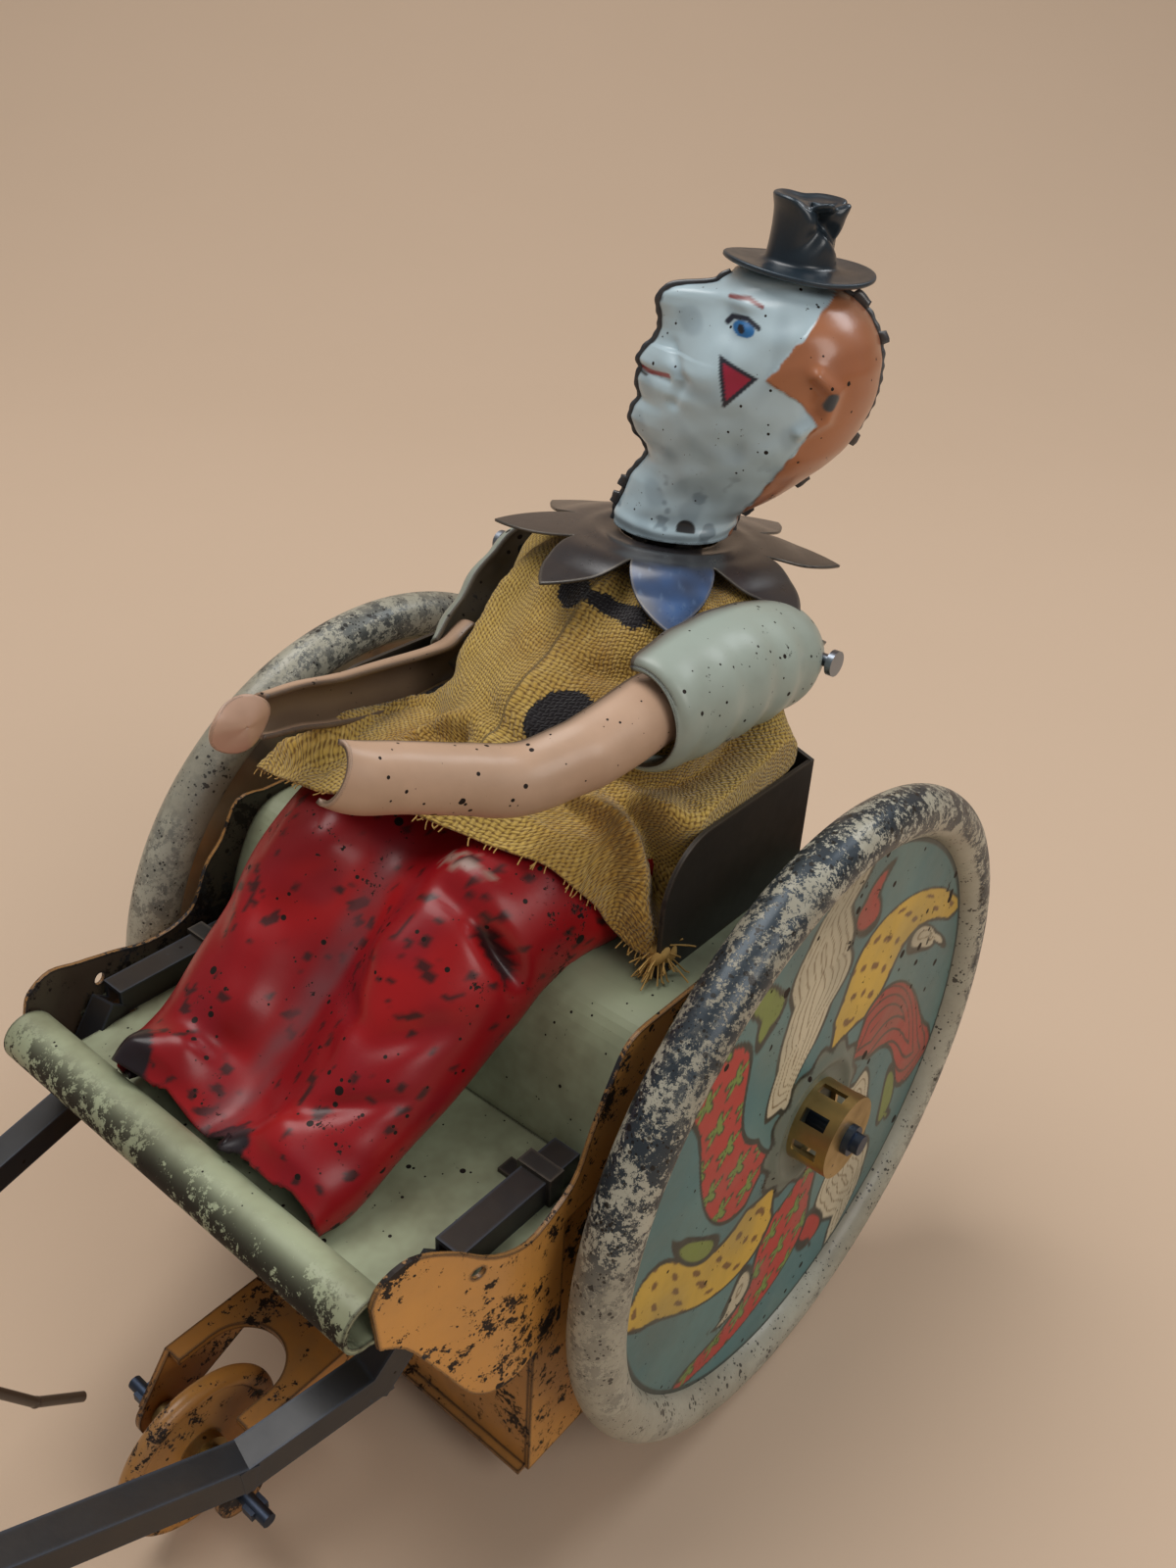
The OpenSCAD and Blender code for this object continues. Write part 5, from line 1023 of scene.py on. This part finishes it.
# The print's colours and its seven bands, each a tone and what fills it
printSet = {"ground": (0.07, 0.18, 0.19), "mottle": (0.12, 0.23, 0.22), "line": (0.02, 0.025, 0.022), "scale": 0.91,
            "bands": [((0.44, 0.035, 0.03), "star"), ((0.58, 0.52, 0.37), "curl"), ((0.62, 0.4, 0.05), "spots"),
                      ((0.4, 0.03, 0.025), "stripe"), ((0.58, 0.52, 0.37), "curl"), ((0.44, 0.035, 0.03), "star"),
                      ((0.62, 0.4, 0.05), "spots")],
            "leaves": [((0.19, 0.25, 0.05), "plain"), ((0.4, 0.03, 0.025), "plain"), ((0.58, 0.52, 0.37), "curl")],
            "hub": ((0.13, 0.16, 0.13), "plain"), "hubR": 8.6, "inner": 7, "outer": 31, "length": 24.2,
            "halfWidth": (2.4, 3.3), "twist": 0.036, "sway": 0.12, "leafAt": (8.5, 25.5), "leafR": 2.2, "outline": 0.3,
            "rows": 124, "cols": 620}


# A generic fairground pattern: seven bands sweep out from the hub with a small leaf between each, all outlined. Each
# shape is a distance below zero inside it: the angle from a leaning spoke times the radius, less half its width
def printColours(x, z):
    r, a = np.hypot(x, z), np.arctan2(z, x)
    at = np.stack([x, z, 0 * x], -1)
    bands = printSet["bands"]
    shapes = []
    span = np.clip((r - printSet["inner"]) / printSet["length"], 0, 1)
    narrow, swell = printSet["halfWidth"]
    leafAside, leafOut = printSet["leafAt"]
    for n, (tone, kind) in enumerate(bands):
        lean = 2 * np.pi * n / len(bands) + printSet["twist"] * (r - 8) + printSet["sway"] * np.sin(0.33 * r + 2 * n)
        d = (np.mod(a - lean + np.pi, 2 * np.pi) - np.pi) * r
        half = (narrow + swell * np.sin(np.pi * span)) * np.minimum(1, 5 * span) * np.minimum(1, 9 * (1 - span)) ** 0.5
        if kind == "curl":
            half = half + 0.9 * np.abs(np.sin(0.55 * r + n)) - 0.5
        edge = np.where((r > printSet["inner"]) & (r < printSet["outer"]), np.abs(d) - half, 3.0)
        across, along = d - leafAside, r - leafOut
        leaf = np.hypot(across + 0.2 * n, (along + n) * 0.62) - printSet["leafR"]
        leaf -= 0.5 * np.cos(3 * np.arctan2(across, along + 0.5))
        shapes += [(edge, tone, kind), (leaf, *printSet["leaves"][n % 3])]
    shapes.append((r - printSet["hubR"] - 0.5 * np.cos(12 * a), *printSet["hub"]))
    out = layered(printSet["ground"], (printSet["mottle"], step(wobble(at, 17, 41), -0.1, 0.4) * 0.6))
    for distance, tone, kind in shapes:
        inside = 1 - step(distance, -0.12, 0.12)
        coats = [(tone, inside)]
        if kind == "spots":
            u, v = np.mod(r, 3.1) - 1.55, np.mod(distance + 9.1, 2.6) - 1.3
            blot = np.hypot(u * 1.3, v * 0.9) + 0.25 * wobble(at, 2.5, 47)
            coats.append(((0.2, 0.09, 0.015), inside * (1 - step(blot, 0.5, 0.66))))
        if kind == "stripe":
            bar = inBand(np.mod(distance * 0.9 + r * 0.35, 1.7), 0.0, 0.4, 0.08)
            coats.append(((0.06, 0.012, 0.012), inside * bar))
        if kind == "curl":
            bar = inBand(np.mod(-distance + 0.3 * wobble(at, 3, 46), 1.25), 0.0, 0.22, 0.07)
            coats.append(((0.2, 0.14, 0.07), inside * bar))
        if kind == "star":
            u, v = np.mod(x + 60 + 0.5 * z, 4.6) - 2.3, np.mod(z + 60, 4.4) - 2.2
            point = np.hypot(u, v) - 1.15 - 0.6 * np.cos(5 * np.arctan2(v, u))
            coats += [((0.03, 0.04, 0.02), inside * (1 - step(point, 0.1, 0.3))),
                      ((0.17, 0.27, 0.05), inside * (1 - step(point, -0.3, -0.1)))]
        out = layered(out, *coats, (printSet["line"], 1 - step(np.abs(distance) - printSet["outline"], -0.05, 0.14)))
    return layered(out, ((0.16, 0.18, 0.14), step(wobble(at, 12, 43), 0.0, 0.5) * 0.2),
                   ((0.03, 0.05, 0.05), inBand(r, 30.7, 31.6, 0.1)))


# Cream lacquer on the rim, lost in patches where the rim's attribute is high, in three sizes of chips; that attribute
# is even wear plus a painted dark reflection towards the top
def rimMaterial():
    material, n = newMaterial("rimTin")
    marks = n.group(wear, Scale=0.9, Chips=0.62, Edge=0.3, Specks=0.6)
    more = n.group(wear, Scale=2.6, Chips=0.86, Edge=0.0, Specks=1.4)
    fine = n.group(wear, Scale=5.2, Chips=0.9, Edge=0.0, Specks=1.4)
    tint = n.attribute("rimWearAndReflection", "Fac")
    patchy = n.ramp(n.plus(tint, n.times(n.minus(marks["Grime"], 0.5), 0.5)), 0.1, 0.75)
    broad = n.times(marks["Chip"], n.ramp(tint, 0.3, 0.6))
    small = n.times(n.most(more["Chip"], n.times(fine["Chip"], 0.8)), n.plus(0.06, patchy))
    lost = n.maths("MINIMUM", n.most(broad, small), 1.0)
    tone = n.mixed(lost, n.mixed(marks["Grime"], (0.27, 0.25, 0.19), (0.42, 0.41, 0.33)), (0.045, 0.058, 0.07))
    tone = n.mixed(n.times(n.most(more["Speck"], fine["Speck"]), 0.9), tone, (0.02, 0.018, 0.016))
    shade(n, {"Base Color": tone, "Metallic": n.times(lost, 0.6), "Roughness": n.plus(0.3, n.times(marks["Fine"], 0.22)),
              "Coat Weight": 0.08, "Normal": n.bump(n.minus(marks["Fine"], lost), 0.3, 0.00014)})
    return material


rimCover = rimMaterial()
innerCover = painted("wheelInside", "innerTint", chips=0.4, edge=0.5, specks=0.7, rough=0.38, grime=0.6,
                     dirt=(0.07, 0.045, 0.02))
printCover = painted("wheelPrintTin", "printTint", bare=(0.05, 0.05, 0.045), chips=0.34, edge=0.0, specks=0.9,
                     rough=0.42, coat=0.08, shine=0.3, grime=0.4, dirt=(0.1, 0.09, 0.06), blots=0.2)
outerCount = wheelSet["rollSteps"]
bare = np.concatenate([np.zeros(steps), step(-np.degrees(roll), -128, -98)])[:outerCount, None]
beadAt, beadWide, beadHigh = wheelSet["bead"]
for side, word in ((1, "left"), (-1, "right")):
    outer, inner = wheelGrid(rimLine[:outerCount], side), wheelGrid(rimLine[outerCount - 1:], side)
    rim = gridPiece("wheelRim" + word.title(), outer, True, flip=side > 0)
    # Painted reflection: paint loss to dark bare metal grows towards the top of each rim, on top of the even wear, and
    # is weaker on the far wheel
    top = step(outer[..., 2] - outer[..., 0] * 0.15 + 6 * wobble(outer, 30, 53), 20, 76)
    storeValue(rim, "rimWearAndReflection", (0.22 + 0.95 * top) * bare * (1.0 if side > 0 else 0.3))
    place(rim, "drive_wheels", "wheel_tin", rimCover, "wheel_" + word)
    back = gridPiece("wheelInner" + word.title(), inner, True, flip=side > 0)
    r = np.hypot(inner[..., 0], inner[..., 2] - wheelSet["axle"])
    storeColour(back, "innerTint", layered(
        [0.42, 0.42, 0.3],
        ([0.5, 0.22, 0.05], inBand(r + 1.2 * wobble(inner, 12, 51), 27, 33.5, 1.0)),
        ([0.03, 0.025, 0.02], step(wobble(inner * [1, 1, 0.35], 6, 52), 0.12, 0.4) * 0.85)))
    place(back, "drive_wheels", "wheel_tin", innerCover)
    r, turn = np.linspace(wheelSet["hole"], wheelSet["print"], printSet["rows"])[:, None], fullTurn(printSet["cols"])
    x, z = r * np.cos(turn), r * np.sin(turn)
    y = outerY + beadHigh * bell(r - beadAt, beadWide) + 0.03 * wobble(np.stack([x, z, 0 * x], -1), 9, 44)
    disc = gridPiece("wheelPrint" + word.title(), np.stack([x, side * y, wheelSet["axle"] + z], -1), True, flip=side < 0)
    storeColour(disc, "printTint", printColours(x * side * printSet["scale"], z * printSet["scale"]))
    place(disc, "drive_wheels", "wheel_tin", printCover)
print("wheels made")

# Mule: round cones about the pivot, squeezed from side to side to 18 mm in all, melted together with a voxel mesh,
# then shaped and painted by place. Each limb is two ends and two radii; the leg's y values are for the left side
muleSet = {
    "at": (112, 0, 49), "flat": 18 / 2 / 9.4, "voxel": 0.6, "smooth": 9, "ground": 5.1, "sunk": 0.15,
    "limbs": [[(-17, 0, 4.4), 8.8, (-4, 0, 3.4), 8.6], [(-4, 0, 3.4), 8.6, (12, 0, 5.0), 9.0],
              [(12, 0, 6), 7.8, (20, 0, 14), 5.8], [(20, 0, 14), 5.8, (25.5, 0, 20.4), 5.0],
              [(25.2, 0, 20.2), 5.2, (31, 0, 13.4), 4.2], [(31, 0, 13.4), 4.2, (36, 0, 7.6), 3.8]],
    "leg": [[(0, 3.4, -1), 5.4, (1.6, 4.4, -15), 2.9], [(1.6, 4.4, -15), 2.7, (0.6, 4.6, -27), 2.1],
            [(0.6, 4.6, -27), 2.1, (-0.4, 4.8, -36), 2.3], [(-0.4, 4.8, -36), 2.3, (0.4, 4.8, -41), 2.7]],
    "legsAt": (14, -20),
    # Each mound: x, z, width, height
    "mounds": [[-16, 0, 6, 0.7], [13, 0, 5.5, 0.6], [28.6, 14.4, 2.6, 0.45], [24, 14, 2.4, -0.5],
               [30.5, 16.2, 0.9, -0.5], [36.4, 7.8, 0.8, -0.5]],
    # Knots of the left ear: x, y, z, half width, half thickness
    "ear": [[22.2, 2.4, 23.4, 1.2, 0.9], [20.4, 3.8, 27.6, 1.7, 0.9], [18.0, 5.2, 31.4, 1.8, 0.7],
            [15.6, 6.2, 34.6, 1.2, 0.5], [13.6, 6.9, 37.0, 0.25, 0.2]],
    "mane": ([8, 25], [11, 22.5]), "red": (0.3, 0.02, 0.02), "orange": (0.45, 0.22, 0.04)}
limbs = list(muleSet["limbs"])
for s in (1, -1):
    for x in muleSet["legsAt"]:
        limbs += [[np.multiply(a, [1, s, 1]) + [x, 0, 0], ra, np.multiply(b, [1, s, 1]) + [x, 0, 0], rb]
                  for a, ra, b, rb in muleSet["leg"]]
points, faces = [], []
for limb in limbs:
    limbPoints, limbFaces = roundCone(*limb)
    start = sum(map(len, points))
    faces += [[v + start for v in face] for face in limbFaces]
    points.append(limbPoints)
raw = makePiece("muleRaw", np.concatenate(points) * [1, muleSet["flat"], 1] + muleSet["at"], faces)
melt = raw.modifiers.new("melt", "REMESH")
melt.mode, melt.voxel_size, melt.use_smooth_shade = "VOXEL", muleSet["voxel"] / perMetre, True
ease = raw.modifiers.new("ease", "SMOOTH")
ease.iterations, ease.factor = muleSet["smooth"], 0.6
bpy.context.view_layer.update()
muleMesh = bpy.data.meshes.new_from_object(raw.evaluated_get(bpy.context.evaluated_depsgraph_get()))
bpy.data.objects.remove(raw)
muleMesh.name = "muleBody"
mule = linked(bpy.data.objects.new("muleBody", muleMesh))
at, normal = np.empty((2, len(muleMesh.vertices) * 3))
muleMesh.vertices.foreach_get("co", at)
muleMesh.vertices.foreach_get("normal", normal)
at, normal = at.reshape(-1, 3) * perMetre - [axleX, 0, 0], normal.reshape(-1, 3)
own = at - muleSet["at"]
x, y, z = own.T
shape = sum(high * bell(np.hypot(x - x0, z - z0), wide) for x0, z0, wide, high in muleSet["mounds"])
shape = shape * step(np.abs(y), 0.5, 3) + 0.2 * wobble(own, 8, 61) - 0.45 * bell(y, 0.35)
at = at + normal * (shape - muleSet["sunk"])[:, None]
at[:, 2] = np.maximum(at[:, 2], muleSet["ground"])
muleMesh.vertices.foreach_set("co", toFrame(at).astype(np.float32).ravel())
muleMesh.update()

# Straps: the distance from the middle of each, where it shows, half its width and its colour. Elsewhere the
# distance is made larger by a set amount
onHead, faraway = (x > 21) & (z > 2), 50.0
straps = [(x - 1.2, (z > -5.5) & (x < 20), 1.1, "red"), (x + 0.55 * z - 17.4, (x < 24) & (z > -4), 1.5, "orange"),
          (z - 3.2, (x < 16) & (x > -30), 0.75, "red"), (x - 0.85 * z - 23.4, onHead, 0.4, "red"),
          (x - 0.85 * z - 13.4, onHead & (z > 12), 0.4, "red")]
harness = []
for distance, shows, half, tone in straps:
    edge = np.abs(distance + np.where(shows, 0.0, faraway)) - half
    harness += [([0.012, 0.01, 0.01], 1 - step(edge - 0.22, -0.08, 0.08)), (muleSet[tone], 1 - step(edge, -0.08, 0.08))]
mane = step(z - np.interp(x, *muleSet["mane"]) + 0.5 * wobble(own, 2, 63), 0.2, 0.9) * step(x, 7.5, 9)
storeColour(mule, "muleTint", layered(
    [0.17, 0.1, 0.055],
    ([0.34, 0.25, 0.16], step(-z + 0.8 * wobble(own, 5, 62), 1.5, 5.5) * step(z, -12, -8) * 0.8),
    ([0.36, 0.28, 0.2], step(x + z * -0.6, 27.5, 30)),
    ([0.09, 0.055, 0.035], step(-z, 14, 22) * 0.7),
    ([0.015, 0.014, 0.015], step(-z, 37.4, 37.9)),
    ([0.03, 0.02, 0.018], mane * (1 - step(x, 26, 28))),
    *harness,
    ([0.5, 0.48, 0.42], 1 - step(np.hypot(x - 28.6, z - 17.4), 1.05, 1.2)),
    ([0.01, 0.01, 0.01], 1 - step(np.hypot(x - 28.8, z - 17.3), 0.6, 0.75)),
    ([0.02, 0.012, 0.01], 1 - step(np.hypot(x - 37.4, z - 7.2), 0.5, 0.7)),
    ([0.02, 0.016, 0.014], 1 - step(np.abs(y), 0.1, 0.3))))
place(mule, "mule", "mule_brown", painted("mulePaint", "muleTint", chips=0.26, edge=0.4, specks=0.7, rough=0.32,
                                          coat=0.4, grime=0.3), "mule_half_left", "mule_half_right")

# Ears: a flattened tube along the knots, hollowed on one side by a bell of the turn
line = smoothLine(muleSet["ear"], 40)[:, None]
turn = fullTurn(30)[:, None]
way = unit(np.gradient(line[..., :3], axis=0))
wide = unit(np.cross(way, [0.2, 0.95, 0.1]))
thick = np.cross(way, wide)
ear = (line[..., :3] + line[..., 3:4] * np.cos(turn) * wide
       + line[..., 4:5] * (np.sin(turn) - 0.675 * bell(turn - np.pi / 2, 0.75)) * thick)
for s, name, replaced in ((1, "muleEarLeft", ["mule_ears"]), (-1, "muleEarRight", [])):
    earPiece = gridPiece(name, ear * [1, s, 1] + muleSet["at"], True, flip=s < 0)
    earCover = painted("earPaint" + str(s), (0.15, 0.09, 0.05), chips=0.24, edge=0.6, specks=0.6, grime=0.4)
    place(earPiece, "mule", "mule_brown", earCover, *replaced)
print("mule made:", len(muleMesh.polygons), "faces")

# Floor and backdrop in one sweep that runs away from the camera and turns up in a quarter circle, lights and camera;
# these places are in metres, apart from the paper's
stageSet = {"away": (-0.785, -0.619), "near": -1400, "bendAt": 420, "bend": 700, "tops": (1100, 1500), "half": 2600,
            "paper": ((0.62, 0.47, 0.345), (0.6, 0.455, 0.33)), "backdrop": (0.5, 0.365, 0.265), "backdropLight": 0.9,
            "sky": (0.86, 0.84, 0.84), "skyLight": 0.24,
            # Each light: place, where it points, size, power, colour
            "lights": {"keyLight": [(0.02, -0.34, 1.0), (0, 0, 0.06), 0.7, 6.4, (1.0, 0.975, 0.95)],
                       "fillLight": [(0.1, 0.85, 0.7), (0, 0, 0.05), 0.6, 3.6, (1.0, 0.965, 0.93)],
                       "rearLight": [(-0.65, 0.25, 0.7), (0, 0, 0.06), 0.35, 1.7, (0.92, 0.96, 1.0)]},
            "lens": 30.375, "sensor": 36, "eye": (0.046707, 0.08235, 0.148535), "right": (-0.64125, 0.76581, 0.04824),
            "up": (-0.37147, -0.36484, 0.85376), "back": (0.67142, 0.52955, 0.51843)}
quarter = np.linspace(0.05, np.pi / 2, 24)
bendAt, bend = stageSet["bendAt"], stageSet["bend"]
reach = np.concatenate([np.linspace(stageSet["near"], bendAt, 30), bendAt + bend * np.sin(quarter), [bendAt + bend] * 2])
rise = np.concatenate([np.zeros(30), bend * (1 - np.cos(quarter)), stageSet["tops"]])
spread = np.linspace(-stageSet["half"], stageSet["half"], 20)
awayX, awayY = stageSet["away"]
sweep = np.stack(np.broadcast_arrays(reach[:, None] * awayX - spread * awayY - axleX,
                                     reach[:, None] * awayY + spread * awayX, rise[:, None]), -1)
floor = gridPiece("paperSweep", sweep)
paper, n = newMaterial("paper")
coords = n.coords()
shade(n, {"Base Color": n.mixed(n.noise(coords, 9.0, 3.0), *stageSet["paper"]), "Roughness": 0.8,
          "Normal": n.bump(n.noise(coords, 900.0, 3.0), 0.05, 0.0004), "Specular IOR Level": 0.25})
cover(floor, paper)
floor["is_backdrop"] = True
for name, (spot, target, size, power, colour) in stageSet["lights"].items():
    data = bpy.data.lights.new(name, "AREA")
    data.shape, data.size, data.energy, data.color = "DISK", size, power, colour
    light = linked(bpy.data.objects.new(name, data))
    light.location = spot
    light.rotation_mode = "QUATERNION"
    light.rotation_quaternion = (Vector(target) - Vector(spot)).to_track_quat("-Z", "Y")
    light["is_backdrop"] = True

# The camera sees the backdrop's colour where the paper ends, and everything else is lit by the sky's
scene.world = bpy.data.worlds.new("studio")
scene.world.use_nodes = True
n = Nodes(scene.world.node_tree)
base, seen, choose = n.tree.nodes["Background"], n.add("Background"), n.add("MixShader")
for ground, colour, strength in ((base, "sky", "skyLight"), (seen, "backdrop", "backdropLight")):
    ground.inputs["Color"].default_value = rgba(stageSet[colour])
    ground.inputs["Strength"].default_value = stageSet[strength]
for socket, value in zip(choose.inputs, (n.add("LightPath").outputs["Is Camera Ray"], base.outputs[0], seen.outputs[0])):
    n.put(socket, value)
n.put(n.tree.nodes["World Output"].inputs["Surface"], choose.outputs[0])

camera = bpy.data.cameras.new("camera")
camera.lens, camera.sensor_width, camera.sensor_fit = stageSet["lens"], stageSet["sensor"], "AUTO"
camera.clip_start, camera.clip_end = 0.01, 20
scene.camera = linked(bpy.data.objects.new("camera", camera))
scene.camera.matrix_world = Matrix([*zip(*(stageSet[k] for k in ("right", "up", "back", "eye"))), (0, 0, 0, 1)])
scene.view_settings.view_transform = "Standard"
print("stage made")

low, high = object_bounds()
